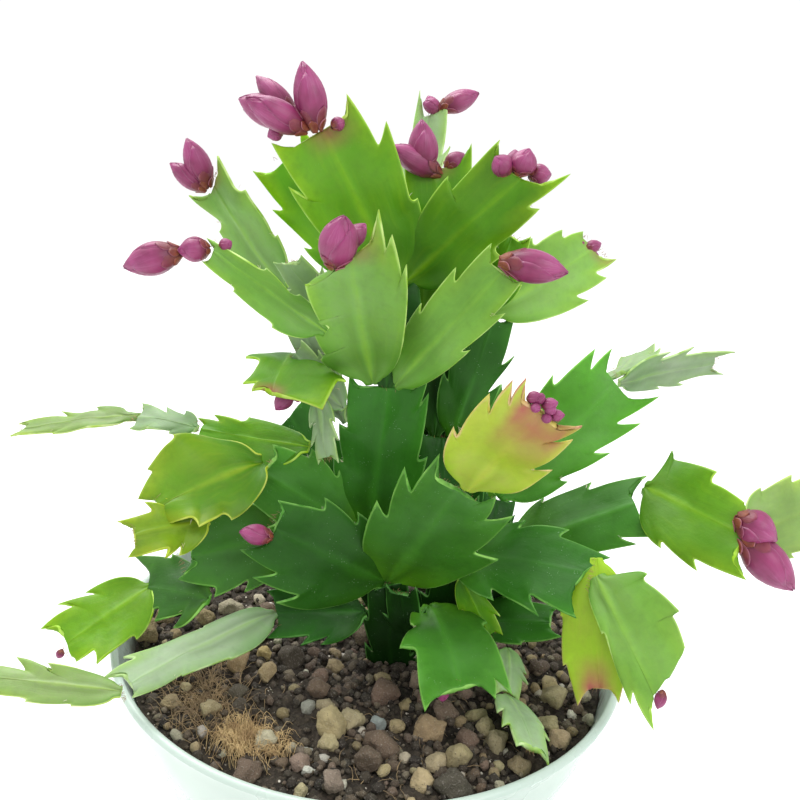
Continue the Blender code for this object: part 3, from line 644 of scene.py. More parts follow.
class Shader:
    """Builds a node material: values are numbers, colours or the outputs of earlier nodes."""

    def __init__(self, name):
        self.material = bpy.data.materials.new(name)
        self.material.use_nodes = True
        self.tree = self.material.node_tree
        self.surface = self.tree.nodes["Principled BSDF"]
        self.colour = None

    def set(self, socket, value):
        if isinstance(value, bpy.types.NodeSocket):
            self.tree.links.new(value, socket)
        elif isinstance(value, tuple) and len(value) == 3 and socket.type == "RGBA":
            socket.default_value = (*value, 1)
        else:
            socket.default_value = value

    def node(self, kind, inputs=(), **settings):
        made = self.tree.nodes.new(kind)
        for key, value in settings.items():
            setattr(made, key, value)
        for key, value in dict(inputs).items():
            self.set(made.inputs[key], value)
        return made

    def place(self):
        return self.node("ShaderNodeTexCoord").outputs["Object"]

    def map_axes(self):
        """The two directions of the piece's own UV map."""
        parts = self.node("ShaderNodeSeparateXYZ", {0: self.node("ShaderNodeUVMap", uv_map="UVMap").outputs[0]})
        return parts.outputs[0], parts.outputs[1]

    def attribute(self, name, output="Fac"):
        return self.node("ShaderNodeAttribute", attribute_name=name).outputs[output]

    def math(self, operation, *values):
        return self.node("ShaderNodeMath", dict(enumerate(values)), operation=operation).outputs[0]

    def times(self, first, *others):
        for value in others:
            first = self.math("MULTIPLY", first, value)
        return first

    def mirror(self, across):
        """0 on the rib and 1 at both margins."""
        return self.math("ABSOLUTE", self.math("MULTIPLY_ADD", across, 2.0, -1.0))

    def stretch(self, value, low, high, to_low=0.0, to_high=1.0, smooth=False):
        """Maps low..high onto to_low..to_high, held at both ends."""
        return self.node("ShaderNodeMapRange",
                         {"Value": value, "From Min": low, "From Max": high, "To Min": to_low, "To Max": to_high},
                         interpolation_type="SMOOTHSTEP" if smooth else "LINEAR").outputs[0]

    def mix(self, share, first, second):
        made = self.node("ShaderNodeMix", data_type="RGBA")
        for number, value in ((0, share), (6, first), (7, second)):
            self.set(made.inputs[number], value)
        return made.outputs[2]

    def coat(self, share, paint):
        """Mixes a share of another colour into the colour so far."""
        self.colour = self.mix(share, self.colour, paint)

    def cloud(self, where, scale, detail=3.0, rough=0.5):
        return self.node("ShaderNodeTexNoise",
                         {"Vector": where, "Scale": scale, "Detail": detail, "Roughness": rough}).outputs["Fac"]

    def cells(self, where, scale):
        return self.node("ShaderNodeTexVoronoi", {"Vector": where, "Scale": scale}).outputs["Distance"]

    def bump(self, height, distance, strength=1.0):
        return self.node("ShaderNodeBump", {"Height": height, "Distance": distance, "Strength": strength}).outputs[0]

    def finish(self, **sockets):
        """Sets the surface sockets, named with _ for a space."""
        for key, value in sockets.items():
            self.set(self.surface.inputs[key.replace("_", " ")], value)
        return self.material


# Segment finishes: colour at the foot, over the body, towards the teeth and in the painted sheen, the pale rim, and the
# surface.
Finish = namedtuple("Finish", "slot foot body teeth bloom rim rough specks glow shine")
# The darkest old finish and the shaded pale finish are copies with painted shade, and old_lit is a copy with painted
# light.
FINISHES = {
    "old": Finish("segment_old", (0.040, 0.165, 0.005), (0.022, 0.118, 0.008), (0.042, 0.19, 0.015),
                  (0.038, 0.15, 0.022), (0.18, 0.42, 0.08), 0.36, 0.5, 0.08, 0.14),
    "old_shaded": Finish("segment_old", (0.014, 0.058, 0.003), (0.012, 0.068, 0.006), (0.022, 0.11, 0.010),
                       (0.026, 0.08, 0.020), (0.09, 0.26, 0.05), 0.38, 0.4, 0.06, 0.1),
    "old_fresh": Finish("segment_old", (0.085, 0.26, 0.006), (0.040, 0.165, 0.014), (0.075, 0.26, 0.025),
                        (0.070, 0.225, 0.040), (0.24, 0.50, 0.10), 0.38, 0.4, 0.1, 0.16),
    "old_lit": Finish("segment_old", (0.035, 0.19, 0.005), (0.080, 0.31, 0.018), (0.10, 0.38, 0.02),
                      (0.12, 0.36, 0.055), (0.30, 0.60, 0.12), 0.42, 0.15, 0.15, 0.16),
    "bright": Finish("segment_bright", (0.040, 0.18, 0.003), (0.092, 0.30, 0.004), (0.25, 0.46, 0.006),
                     (0.14, 0.34, 0.022), (0.40, 0.62, 0.10), 0.42, 0.1, 0.18, 0.22),
    "light": Finish("segment_light", (0.085, 0.27, 0.012), (0.165, 0.38, 0.05), (0.26, 0.48, 0.04),
                    (0.22, 0.41, 0.11), (0.50, 0.70, 0.22), 0.45, 0.1, 0.18, 0.25),
    "pale": Finish("segment_pale", (0.20, 0.42, 0.10), (0.30, 0.47, 0.22), (0.30, 0.52, 0.10),
                   (0.38, 0.50, 0.30), (0.55, 0.72, 0.35), 0.5, 0.1, 0.18, 0.3),
    "pale_shaded": Finish("segment_pale", (0.13, 0.29, 0.075), (0.21, 0.335, 0.155), (0.24, 0.40, 0.09),
                         (0.30, 0.40, 0.245), (0.44, 0.60, 0.28), 0.5, 0.1, 0.12, 0.3),
    "lime_pale": Finish("segment_light", (0.16, 0.33, 0.05), (0.24, 0.41, 0.09), (0.34, 0.50, 0.07),
                        (0.32, 0.45, 0.17), (0.50, 0.62, 0.24), 0.45, 0.1, 0.15, 0.3),
    "yellow": Finish("segment_yellow", (0.24, 0.44, 0.010), (0.38, 0.46, 0.045), (0.50, 0.46, 0.07),
                     (0.44, 0.47, 0.10), (0.60, 0.46, 0.20), 0.42, 0.05, 0.15, 0.25),
    "half_yellow": Finish("segment_yellow", (0.065, 0.22, 0.004), (0.095, 0.26, 0.005), (0.34, 0.44, 0.02),
                          (0.18, 0.34, 0.02), (0.48, 0.56, 0.10), 0.42, 0.05, 0.18, 0.22),
}


def leaf_finishes(tone):
    """The face and rim materials of the segments of one tone."""
    look = FINISHES[tone]
    # deep, half the body colour, is the colour of the painted shade and of the darker mottle.
    deep = tuple(0.5 * value for value in look.body)
    face = Shader("segment_face_" + tone)
    where = face.place()
    across, along = face.map_axes()
    share = face.mirror(across)
    drift = face.cloud(where, 38, 2)
    patches = face.cloud(where, 90, 3)
    mottle = face.cloud(where, 420, 3, 0.6)
    fine = face.cloud(where, 1600, 3, 0.6)
    face.colour = face.mix(face.stretch(along, 0.0, 0.5, smooth=True), look.foot, look.body)
    outwards = face.times(face.stretch(share, 0.55, 1.0), face.stretch(along, 0.25, 0.9))
    outwards = face.math("MAXIMUM", outwards, face.stretch(along, 0.98, 1.12))
    outwards = face.times(outwards, face.stretch(patches, 0.3, 0.6, 0.35, 1.0))
    face.coat(outwards, look.teeth)
    # Painted sheen: lighter, greyer patches over the middle of the face, fading towards the margins.
    bloom = face.times(face.stretch(drift, 0.42, 0.6), face.stretch(share, 1.0, 0.5, 0.1, 1.0))
    bloom = face.times(bloom, face.stretch(mottle, 0.3, 0.62, 0.55, 1.0))
    face.coat(bloom, look.bloom)
    rib = face.times(face.stretch(share, 0.14, 0.0, smooth=True), face.stretch(along, 0.05, 0.85, 0.55, 0.15))
    face.coat(rib, look.teeth)
    # Painted shade beside the rib, where the face folds, fading towards the tip; darker patches of random tone join it.
    painted_rib_shade = face.times(face.stretch(share, 0.08, 0.2), face.stretch(share, 0.6, 0.25))
    shade = face.times(painted_rib_shade, face.stretch(along, 0.95, 0.2, 0.05, 0.5))
    shade = face.math("MAXIMUM", shade, face.stretch(drift, 0.46, 0.32, 0.0, 0.5))
    face.coat(shade, deep)
    tint = face.attribute("tint")
    face.coat(face.math("MAXIMUM", tint, 0.0), look.teeth)
    face.coat(face.math("MAXIMUM", face.times(tint, -1.0), 0.0), look.foot)
    # Painted shade over one half of the segment, with the side and amount set by its dark value.
    painted_half_shade = face.times(face.attribute("dark"), face.stretch(patches, 0.3, 0.6, 0.7, 1.0))
    face.coat(painted_half_shade, deep)
    face.coat(face.stretch(mottle, 0.45, 0.72, 0.0, 0.25), deep)
    wide = face.node("ShaderNodeCombineXYZ", {0: face.times(across, 14.0),
                                              1: face.times(along, 3.0)}).outputs[0]
    veins = face.cloud(wide, 1.0, 2)
    face.coat(face.stretch(veins, 0.5, 0.75, 0.0, 0.14), look.teeth)
    # Painted light and shade: the colour is scaled by the segment's own light level.
    scaled = {0: face.colour, "Scale": face.attribute("gain")}
    face.colour = face.node("ShaderNodeVectorMath", scaled, operation="SCALE").outputs[0]
    blush = face.times(face.attribute("blush"), face.stretch(patches, 0.3, 0.62, 0.45, 1.0))
    face.coat(blush, (0.36, 0.05, 0.085))
    edge = face.stretch(share, 0.965, 0.992, 0.0, 0.6)
    edge = face.times(edge, face.stretch(patches, 0.35, 0.65, 0.3, 1.0))
    face.coat(edge, look.rim)
    grains = face.cells(where, 1500)
    chance = face.cloud(where, 330, 1)
    speck = face.times(face.stretch(grains, 0.2, 0.1), face.stretch(chance, 0.56, 0.66))
    face.coat(face.times(speck, look.specks), (0.30, 0.46, 0.28))
    height = face.math("ADD", face.times(patches, 0.8), face.times(mottle, 0.16))
    height = face.math("MULTIPLY_ADD", veins, 0.12, height)
    normal = face.bump(face.math("MULTIPLY_ADD", fine, 0.04, height), 0.0009, 0.6)
    rough = face.stretch(patches, 0.3, 0.7, look.rough - 0.06, look.rough + 0.1)
    face.finish(Base_Color=face.colour, Roughness=rough, Normal=normal, Subsurface_Weight=look.glow,
                Specular_IOR_Level=look.shine, Subsurface_Radius=(0.35, 1.0, 0.12), Subsurface_Scale=0.0015)
    rim = Shader("segment_rim_" + tone)
    where = rim.place()
    blushed = rim.mix(rim.stretch(rim.cloud(where, 260, 2), 0.4, 0.6), look.rim, look.teeth)
    colour = rim.mix(rim.times(rim.attribute("horn"), 0.7), blushed, (0.42, 0.14, 0.12))
    rim.finish(Base_Color=colour, Roughness=0.5, Specular_IOR_Level=0.25,
               Normal=rim.bump(rim.cloud(where, 1500, 2), 0.0001))
    return face.material, rim.material


def root(shape, rotation, base, spot, aim, corner, room):
    """Where a child starts, so that its corners clear a spot on its placed parent."""
    if isinstance(spot, str):
        side, number = spot.split()
        point, out = shape.notch(side, int(number))
        seat = NOTCH_SEAT
    else:
        point, out = shape.tip(spot * MM)
        seat = TIP_SEAT
    out = rotation @ out
    turned = min(out.angle(aim), math.pi / 2)
    return base + rotation @ point + out * (seat + room * MM + corner * math.sin(turned))


def neck_corner(width):
    return TURN_ROOM + 0.5 * NECK_SHARE * width * MM


def lay_out():
    """Shape, rotation and base of every segment, from the stems outwards."""
    placed = {}
    for number, (name, (x, y), aim, face, length, width) in enumerate(STEMS):
        shape = Shape(length + STEM_DEPTH / MM, width, 0, number, STEM_TIP_HALF)
        rotation = axes(aim, face)
        base = Vector((x * MM, y * MM, SOIL_TOP)) - rotation.col[1] * STEM_DEPTH
        placed[name] = shape, rotation, base
    for number, row in enumerate(SEGMENTS, len(STEMS)):
        shape = Shape(row.length, row.width, row.bend, number)
        rotation = axes(row.aim, row.face)
        room = EXTRA_ROOM.get(row.name, 0)
        base = root(*placed[row.parent], row.spot, rotation.col[1], neck_corner(row.width), room)
        placed[row.name] = shape, rotation, base
    for number, row in enumerate(FILLERS, len(STEMS) + len(SEGMENTS)):
        shape = Shape(row.length, row.width, row.bend, number)
        placed[row.name] = shape, axes(row.aim, row.face), Vector(row.foot) * MM
    for name, (shape, rotation, base) in placed.items():
        shift = LOOKS.get(name, PLAIN_LOOK).shift
        placed[name] = shape, rotation, base + rotation @ (Vector(shift) * MM)
    return placed


def held(value):
    return min(1.0, max(0.0, value))


def add_segment(name, tone, placed, finishes, look):
    """Models one segment, colours it and moves the mesh itself to its place, so that the object is at the origin."""
    shape, rotation, base = placed[name]
    stem = name.startswith("stem")
    blade = model_blade(shape, look, STEM_THICKNESS if stem else RIB_THICKNESS, MARGINS.get(name))
    mesh = blade.data
    for index, finish in enumerate(finishes[tone]):
        mesh.materials[index] = finish
    # The sign of dark picks the half that gets painted shade.
    blush, painted_shade_side = look.blush, math.copysign(1, look.dark)
    values = {"tint": [], "blush": [], "horn": [], "gain": [], "dark": []}
    for vert in mesh.vertices:
        along, side = vert.co.y / shape.length, vert.co.x / shape.half
        near_tip = held((along - 1 + 0.42 * blush) / (0.4 * blush + 0.01))
        values["tint"].append(look.tint)
        values["blush"].append(near_tip * min(1.0, 2.4 * blush * max(0.0, 1 - abs(side - 0.1) / 0.6)))
        values["horn"].append(blush * held((along - 0.95) / 0.2))
        values["gain"].append(look.gain)
        values["dark"].append(held(2.5 * side * painted_shade_side) * abs(look.dark))
    for key, column in values.items():
        set_attribute(mesh, key, column)
    mesh.transform(Matrix.Translation(base) @ rotation.to_4x4())
    node = name if stem else "segment_" + name
    finish_piece(blade, node + "_blade", FINISHES[tone].slot, node)


def add_plant(placed):
    finishes = {tone: leaf_finishes(tone) for tone in FINISHES}
    for name, *_ in STEMS:
        add_segment(name, "old_shaded", placed, finishes, LOOKS[name])
    for row in SEGMENTS:
        add_segment(row.name, row.tone, placed, finishes, LOOKS.get(row.name, PLAIN_LOOK))
    for row in FILLERS:
        add_segment(row.name, row.tone, placed, finishes, row.look)


def set_stage():
    floor = primitive("plane", size=60, location=(0, 0, 0))
    floor.name = "floor"
    floor.data.materials.append(Shader("floor").finish(Base_Color=(0.97, 0.97, 0.97), Roughness=0.6))
    world = bpy.data.worlds.new("studio")
    bpy.context.scene.world = world
    world.use_nodes = True
    colour, strength = world.node_tree.nodes["Background"].inputs[:2]
    colour.default_value = (1, 1, 1, 1)
    strength.default_value = DAYLIGHT


def add_light(name, place, target, size, watts):
    light = bpy.data.lights.new(name, "AREA")
    light.shape = "DISK"
    light.size = size
    light.energy = watts
    item = add_object(name, light)
    item.location = place
    item.rotation_euler = (Vector(target) - Vector(place)).to_track_quat("-Z", "Y").to_euler()


DAYLIGHT = 1.05
CAMERA_PLACE = (3.9 * MM, -210.5 * MM, 221.6 * MM)
CAMERA_DOWN = math.radians(18.54)
CAMERA_ROLL = math.radians(4.12)
CAMERA_LENS = 38.61
CAMERA_SENSOR = 36


def add_camera():
    camera = bpy.data.cameras.new("camera")
    camera.sensor_width = CAMERA_SENSOR
    camera.lens = CAMERA_LENS
    camera.clip_start = 0.01
    item = add_object("camera", camera)
    forward = Vector((0, math.cos(CAMERA_DOWN), -math.sin(CAMERA_DOWN)))
    level = Vector((1, 0, 0))
    upright = level.cross(forward)
    right = level * math.cos(CAMERA_ROLL) + upright * math.sin(CAMERA_ROLL)
    up = right.cross(forward)
    turn = Matrix((right, up, -forward)).transposed().to_4x4()
    item.matrix_world = Matrix.Translation(CAMERA_PLACE) @ turn
    bpy.context.scene.camera = item


# The drawn pot
POT_STEPS = 128
FOOT_DISC = FOOT_RADIUS - 1.4 * MM
FOOT_BEVEL = (FOOT_RADIUS - 0.6 * MM, 0.25 * MM)
OUTER_START = 1.2 * MM
POT_FLOOR = 3 * MM
LIP_ROUND = 1.1 * MM
LIP_ANGLES = (60, 35, 12, -12, -35, -60)
LIP_BASE = POT_HEIGHT - LIP_ROUND
POT_CURVE_STEPS = 10
SOIL_STEPS = 170

# Stones on the soil: kind, place (x, y) and size, in mm
STONE_COLOURS = {
    "beige": (0.46, 0.38, 0.21), "tan": (0.33, 0.25, 0.13), "red": (0.20, 0.14, 0.10), "grey": (0.34, 0.34, 0.30),
    "blue": (0.38, 0.42, 0.40), "pink": (0.27, 0.21, 0.15), "brown": (0.15, 0.105, 0.07), "white": (0.66, 0.62, 0.52),
    "yellow": (0.44, 0.35, 0.14), "pale": (0.50, 0.45, 0.32), "dark": (0.085, 0.07, 0.05),
}
STONES = (
    ("red", 5, -24, 8.5), ("red", 5, -42, 8.4), ("grey", -14, -31, 4), ("blue", 4, -35, 4.6), ("beige", 9, -34, 5),
    ("tan", 17, -36, 8.6), ("red", 21, -29, 6.8), ("beige", 31, -34, 5.4), ("beige", 33, -39, 6.6),
    ("beige", 24, -45, 7.4), ("beige", 18, -46, 5.6), ("beige", 15, -53, 6), ("brown", 26, -39, 6.5),
    ("beige", 29, -29, 5.4), ("pink", 14, -18, 6), ("beige", 50, -20, 7.6), ("beige", 50, -14, 5.4),
    ("beige", 47, -31, 5.6), ("beige", 49, -36, 6.4), ("tan", 38, -45, 5.4), ("pale", 58, -27, 3.2),
    ("tan", 42, 5, 3.8), ("pink", 50, 8, 5.4), ("tan", 42, -1, 3.6), ("pale", 33, -52, 3), ("dark", 22, -54, 8),
    ("dark", -21, -12, 8), ("yellow", -28, -11, 5), ("white", 0, -38, 3.4), ("white", -11, -52, 3.2),
    ("beige", -12, -58, 4.2), ("pink", -13, -50, 5), ("tan", -62, -5, 8), ("tan", -60, 4, 6.2), ("tan", -56, 10, 4.6),
    ("pale", -42, 11, 7), ("tan", -55, -3, 4), ("tan", 11, -27, 4), ("pale", -22, -44, 6.5), ("tan", -35, -16, 7),
    ("tan", -26, -19, 6), ("grey", -12, -46, 3.2), ("pink", -5, -55, 5.6),
)
STAR_STONE = (("beige", -7, -38, 9.6), ("beige", -9, -31, 5.6), ("beige", -3, -36, 6.4), ("beige", -7, -44, 5.6))
STONE_BALL = 0.6
STONE_CUTS = 11
STONE_VOXEL = 0.085
STONE_TILT = 0.6
# Places without scattered stones, round the stems and under the coir: (x, y) and radius in mm
CLEARINGS = ((10, -3, 11), (-27, -44, 9))
SCATTERED_STONES = 300
MOST_TRIES = 9000
SCATTERED_KINDS = ("beige", "tan", "tan", "brown", "brown", "tan", "brown", "dark", "pale", "dark", "beige", "red")
SCATTERED_SIZES = (2.4, 2.8, 3.2, 3.8, 4.6, 5.6, 6.4)
CRUMBS = 3600
CRUMB_SIZES = (0.8, 1.0, 1.2, 1.5, 1.8, 2.2, 2.8)
CRUMB_TONES = ((0.045, 0.035, 0.024), (0.08, 0.062, 0.043), (0.13, 0.10, 0.068), (0.028, 0.022, 0.016),
               (0.20, 0.16, 0.11), (0.11, 0.084, 0.056))
SOIL_SKIRT = 8 * MM
SOIL_TAPER = 0.94


def copy_of(form, matrix, **values):
    """A copy with its own mesh, moved by a matrix, with a number or colour on every vertex for each value."""
    mesh = form.data.copy()
    mesh.transform(matrix)
    count = len(mesh.vertices)
    for key, value in values.items():
        if isinstance(value, tuple):
            layer = mesh.attributes.new(key, "FLOAT_COLOR", "POINT")
            layer.data.foreach_set("color", [*value, 1.0] * count)
        else:
            set_attribute(mesh, key, [value] * count)
    return add_object("copy", mesh)


def discard(*items):
    for item in items:
        bpy.data.objects.remove(item)


def pot_profile(inset, low):
    """(radius, height) up the pot wall, from a height on its straight taper to the rim."""
    taper = (BELLY[0] - FOOT_RADIUS) / BELLY[1]
    ends = [Vector(p) for p in (BELLY, SHOULDER, (RIM_RADIUS, POT_HEIGHT))]
    line = [Vector((FOOT_RADIUS + taper * low, low)), Vector((FOOT_RADIUS + taper * 0.6 * BELLY[1], 0.6 * BELLY[1]))]
    for step in range(POT_CURVE_STEPS + 1):
        t = step / POT_CURVE_STEPS
        line.append(ends[0] * (1 - t) ** 2 + ends[1] * 2 * t * (1 - t) + ends[2] * t * t)
    return [(point.x - inset, min(point.y, LIP_BASE)) for point in line]


def model_pot():
    """Bottom disc, drawn up ring by ring over the rim and down the inside, and closed there."""
    outer = [FOOT_BEVEL] + pot_profile(0, OUTER_START)
    inner = pot_profile(WALL, POT_FLOOR)[::-1]
    middle = RIM_RADIUS - 0.5 * WALL
    lip = [(middle + 0.5 * WALL * math.sin(a), LIP_BASE + LIP_ROUND * math.cos(a))
           for a in map(math.radians, LIP_ANGLES)]
    pot = primitive("circle", vertices=POT_STEPS, radius=FOOT_DISC, fill_type="NGON", location=(0, 0, 0))
    edit(pot, "EDGE")
    radius, height = FOOT_DISC, 0.0
    bpy.ops.mesh.inset(thickness=0.35 * radius)
    bpy.ops.mesh.select_all(action="SELECT")
    bpy.ops.mesh.region_to_loop()
    for next_radius, next_height in outer + lip + inner:
        bpy.ops.mesh.extrude_edges_move(TRANSFORM_OT_translate={"value": (0, 0, next_height - height)})
        scale = next_radius / radius
        bpy.ops.transform.resize(value=(scale, scale, 1), center_override=(0, 0, next_height))
        radius, height = next_radius, next_height
    bpy.ops.mesh.edge_face_add()
    bpy.ops.mesh.inset(thickness=0.3 * radius)
    leave_edit()
    select(pot)
    bpy.ops.object.shade_smooth_by_angle(angle=math.radians(40))
    pot.data.materials.append(pot_finish())
    return finish_piece(pot, "pot_wall", "pot", "pot")


def pot_finish():
    made = Shader("pale_plastic")
    where = made.place()
    parts = made.node("ShaderNodeSeparateXYZ", {0: where}).outputs
    cloudy = made.cloud(where, 22, 3)
    made.colour = made.mix(made.stretch(cloudy, 0.35, 0.65), (0.43, 0.54, 0.475), (0.48, 0.565, 0.51))
    radial = made.math("SQRT", made.math("ADD", made.math("POWER", parts[0], 2.0), made.math("POWER", parts[1], 2.0)))
    flared = made.math("MULTIPLY_ADD", parts[2], -0.3, radial)
    middle = RIM_RADIUS - 4 * MM - 0.3 * SOIL_TOP
    inside = made.stretch(flared, middle - 0.4 * MM, middle + 0.4 * MM, 1.0, 0.0)
    inside = made.times(inside, made.stretch(parts[2], SOIL_TOP - 3 * MM, SOIL_TOP - 2 * MM))
    low = made.stretch(parts[2], SOIL_TOP + 1 * MM, SOIL_TOP + 6 * MM, 0.75, 0.0)
    dust = made.stretch(made.cloud(where, 160, 4, 0.65), 0.42, 0.62)
    made.coat(made.times(inside, low, dust), (0.13, 0.09, 0.06))
    scuffs = made.stretch(made.cloud(where, 500, 2), 0.62, 0.72, 0.0, 0.12)
    made.coat(scuffs, (0.42, 0.50, 0.47))
    rough = made.stretch(made.cloud(where, 60, 3), 0.3, 0.7, 0.22, 0.34)
    return made.finish(Base_Color=made.colour, Roughness=rough, Normal=made.bump(made.cloud(where, 35, 2), 0.0004, 0.3),
                       Subsurface_Weight=0.15, Subsurface_Radius=(1.0, 1.0, 1.0), Subsurface_Scale=0.002)


def far_dice(dice):
    """A place inside the unit circle, (x, y)."""
    turn, out = dice.uniform(0, 2 * math.pi), math.sqrt(dice.random())
    return out * math.cos(turn), out * math.sin(turn)


def soil_height(x, y):
    """Height of the soil: a low mound, hollows and clods."""
    out = min(1.0, math.hypot(x, y) / RIM_RADIUS)
    spot = Vector((x, y, 0))
    hollows = noise.noise(spot * 55) * 1.1 * MM
    clods = noise.turbulence(spot * 170, 3, True) * 2.2 * MM
    grit = noise.turbulence(spot * 700, 2, True) * 0.9 * MM
    return SOIL_TOP + SOIL_MOUND * (1 - out * out) - 1.0 * MM + hollows + clods + grit


def model_soil(radius):
    """The top of the soil, drawn from a square grid out to the pot wall, with a skirt under its edge."""
    soil = primitive("grid", x_subdivisions=SOIL_STEPS, y_subdivisions=SOIL_STEPS, size=2)
    for vert in soil.data.vertices:
        u, v, _ = vert.co
        x = radius * u * math.sqrt(1 - 0.5 * v * v)
        y = radius * v * math.sqrt(1 - 0.5 * u * u)
        vert.co = (x, y, soil_height(x, y))
    edit(soil, "EDGE")
    bpy.ops.mesh.region_to_loop()
    bpy.ops.mesh.extrude_edges_move(TRANSFORM_OT_translate={"value": (0, 0, -SOIL_SKIRT)})
    bpy.ops.transform.resize(value=(SOIL_TAPER, SOIL_TAPER, 1), center_override=(0, 0, 0))
    bpy.ops.mesh.edge_face_add()
    leave_edit()
    soil.data.shade_smooth()
    soil.data.materials.append(soil_finish())
    return finish_piece(soil, "soil_bed", "soil", "potting_soil")


def soil_finish():
    made = Shader("dark_soil")
    where = made.place()
    broad = made.cloud(where, 130, 4, 0.65)
    fine = made.cloud(where, 900, 3, 0.7)
    made.colour = made.mix(made.stretch(broad, 0.35, 0.65), (0.011, 0.0085, 0.006), (0.052, 0.040, 0.027))
    made.coat(made.stretch(fine, 0.5, 0.75, 0.0, 0.6), (0.13, 0.10, 0.07))
    flecks = made.times(made.stretch(made.cells(where, 620), 0.22, 0.12),
                       made.stretch(made.cloud(where, 210, 1), 0.52, 0.6))
    made.coat(flecks, (0.62, 0.57, 0.48))
    return made.finish(Base_Color=made.colour, Roughness=0.95, Normal=made.bump(fine, 0.0009, 0.9))


def stone_form(seed, broken, worn_edges=True):
    """A piece of gravel of size 1: a ball cut by planes, its edges worn. Small crumbs are cut from a coarser ball."""
    dice = random.Random(seed)
    stone = primitive("ico_sphere", subdivisions=3 if broken else 1, radius=STONE_BALL)
    stretch = Vector((dice.uniform(0.95, 1.2), dice.uniform(0.75, 1.0), dice.uniform(0.62, 0.85)))
    for vert in stone.data.vertices:
        vert.co = vert.co * stretch * (1.0 if broken else dice.uniform(0.7, 1.12))
    edit(stone)
    if broken:
        for _ in range(STONE_CUTS):
            way = Vector([dice.gauss(0, 1) for _ in range(3)]).normalized()
            reach = dice.uniform(0.3, 0.43)
            bpy.ops.mesh.select_all(action="SELECT")
            bpy.ops.mesh.bisect(plane_co=way * reach, plane_no=way, use_fill=True, clear_outer=True)
    bpy.ops.mesh.select_all(action="SELECT")
    bpy.ops.mesh.convex_hull()
    leave_edit(outwards=False)
    if broken:
        merge = stone.modifiers.new("merge", "REMESH")
        merge.mode = "VOXEL"
        merge.voxel_size = STONE_VOXEL
        wear = stone.modifiers.new("wear", "SMOOTH")
        wear.iterations = 2
        apply_modifiers(stone)
        shift = Vector((seed * 7.3, seed * 3.1, 0))
        for vert in stone.data.vertices:
            dents = noise.fractal(vert.co * 3 + shift, 0.7, 2.2, 4)
            vert.co *= 1 + 0.13 * dents - 0.3 * max(0.0, noise.noise(vert.co * 6 - shift)) ** 2
    elif worn_edges:
        worn = stone.modifiers.new("worn", "BEVEL")
        worn.width = 0.07
        worn.segments = 1
        worn.limit_method = "ANGLE"
        worn.angle_limit = math.radians(30)
        apply_modifiers(stone)
    stone.data.shade_smooth()
    return stone


def stone_finish():
    made = Shader("gravel_grain")
    where = made.place()
    own = made.attribute("stone_colour", "Color")
    patches = made.cloud(where, 420, 4, 0.65)
    fine = made.cloud(where, 2200, 3, 0.6)
    made.colour = made.mix(made.stretch(patches, 0.32, 0.68, 0.0, 0.55), own, made.mix(0.55, own, (0.06, 0.045, 0.03)))
    made.coat(made.stretch(fine, 0.55, 0.8, 0.0, 0.5), made.mix(0.5, own, (0.85, 0.8, 0.7)))
    pits = made.times(made.stretch(made.cells(where, 1500), 0.2, 0.08),
                     made.stretch(made.cloud(where, 600, 1), 0.48, 0.6))
    made.coat(made.times(pits, 0.8), (0.05, 0.038, 0.028))
    height = made.math("SUBTRACT", made.math("ADD", made.times(patches, 0.6), fine), pits)
    return made.finish(Base_Color=made.colour, Roughness=0.85, Normal=made.bump(height, 0.0006, 1.0))


def random_turn(dice):
    """Any way round, and tilted a little."""
    matrix = Matrix.Rotation(dice.uniform(0, 2 * math.pi), 4, "Z")
    for axis in "XY":
        matrix = matrix @ Matrix.Rotation(dice.uniform(-STONE_TILT, STONE_TILT), 4, axis)
    return matrix


def lay_stone(form, dice, x, y, size, colour, sink=0.12):
    shade = dice.uniform(0.82, 1.12)
    colour = tuple(min(1.0, c * shade * dice.uniform(0.95, 1.05)) for c in colour)
    high = soil_height(x, y) + (0.5 - sink) * STONE_BALL * size
    matrix = Matrix.Translation((x, y, high)) @ random_turn(dice) @ Matrix.Scale(size, 4)
    return copy_of(form, matrix, stone_colour=colour)


def model_gravel(radius):
    """Placed stones, then smaller ones scattered between them, thicker towards the front and the right."""
    dice = random.Random(31)
    broken = [stone_form(seed, True) for seed in range(8)]
    coarse = [stone_form(seed, False) for seed in range(20, 26)]
    crumb_forms = [stone_form(seed, False, False) for seed in range(30, 36)]
    taken = []
    stones = []
    for kind, x, y, size in STONES + STAR_STONE:
        stones.append(lay_stone(dice.choice(broken), dice, x * MM, y * MM, size * MM, STONE_COLOURS[kind]))
        taken.append((x * MM, y * MM, 0.5 * size * MM))
    tries = 0
    while len(stones) < SCATTERED_STONES and tries < MOST_TRIES:
        tries += 1
        size = dice.choice(SCATTERED_SIZES) * MM
        x, y = (share * (radius - 0.7 * size) for share in far_dice(dice))
        crowding = 0.5 if x - y > 0 else 0.62
        if any(math.hypot(x - a, y - b) < crowding * (size + 2 * half) * 0.95 for a, b, half in taken):
            continue
        if x < -8 * MM and dice.random() < 0.4:
            continue
        if any(math.hypot(x - a * MM, y - b * MM) < reach * MM for a, b, reach in CLEARINGS):
            continue
        form = dice.choice(broken if size > 4 * MM else coarse)
        stones.append(lay_stone(form, dice, x, y, size, STONE_COLOURS[dice.choice(SCATTERED_KINDS)]))
        taken.append((x, y, size / 2))
    gravel = join(stones, "gravel")
    gravel.data.materials.append(stone_finish())
    finish_piece(gravel, "gravel", "soil")
    crumbs = []
    for _ in range(CRUMBS):
        size = dice.choice(CRUMB_SIZES) * MM
        x, y = (share * (radius - 0.6 * size) for share in far_dice(dice))
        colour = STONE_COLOURS["white"] if dice.random() < 0.025 else dice.choice(CRUMB_TONES)
        crumbs.append(lay_stone(dice.choice(crumb_forms), dice, x, y, size, colour, 0.05))
    crumb_layer = join(crumbs, "soil_crumbs")
    crumb_layer.data.materials.append(gravel.data.materials[0])
    finish_piece(crumb_layer, "soil_crumbs", "soil")
    discard(*broken, *coarse, *crumb_forms)


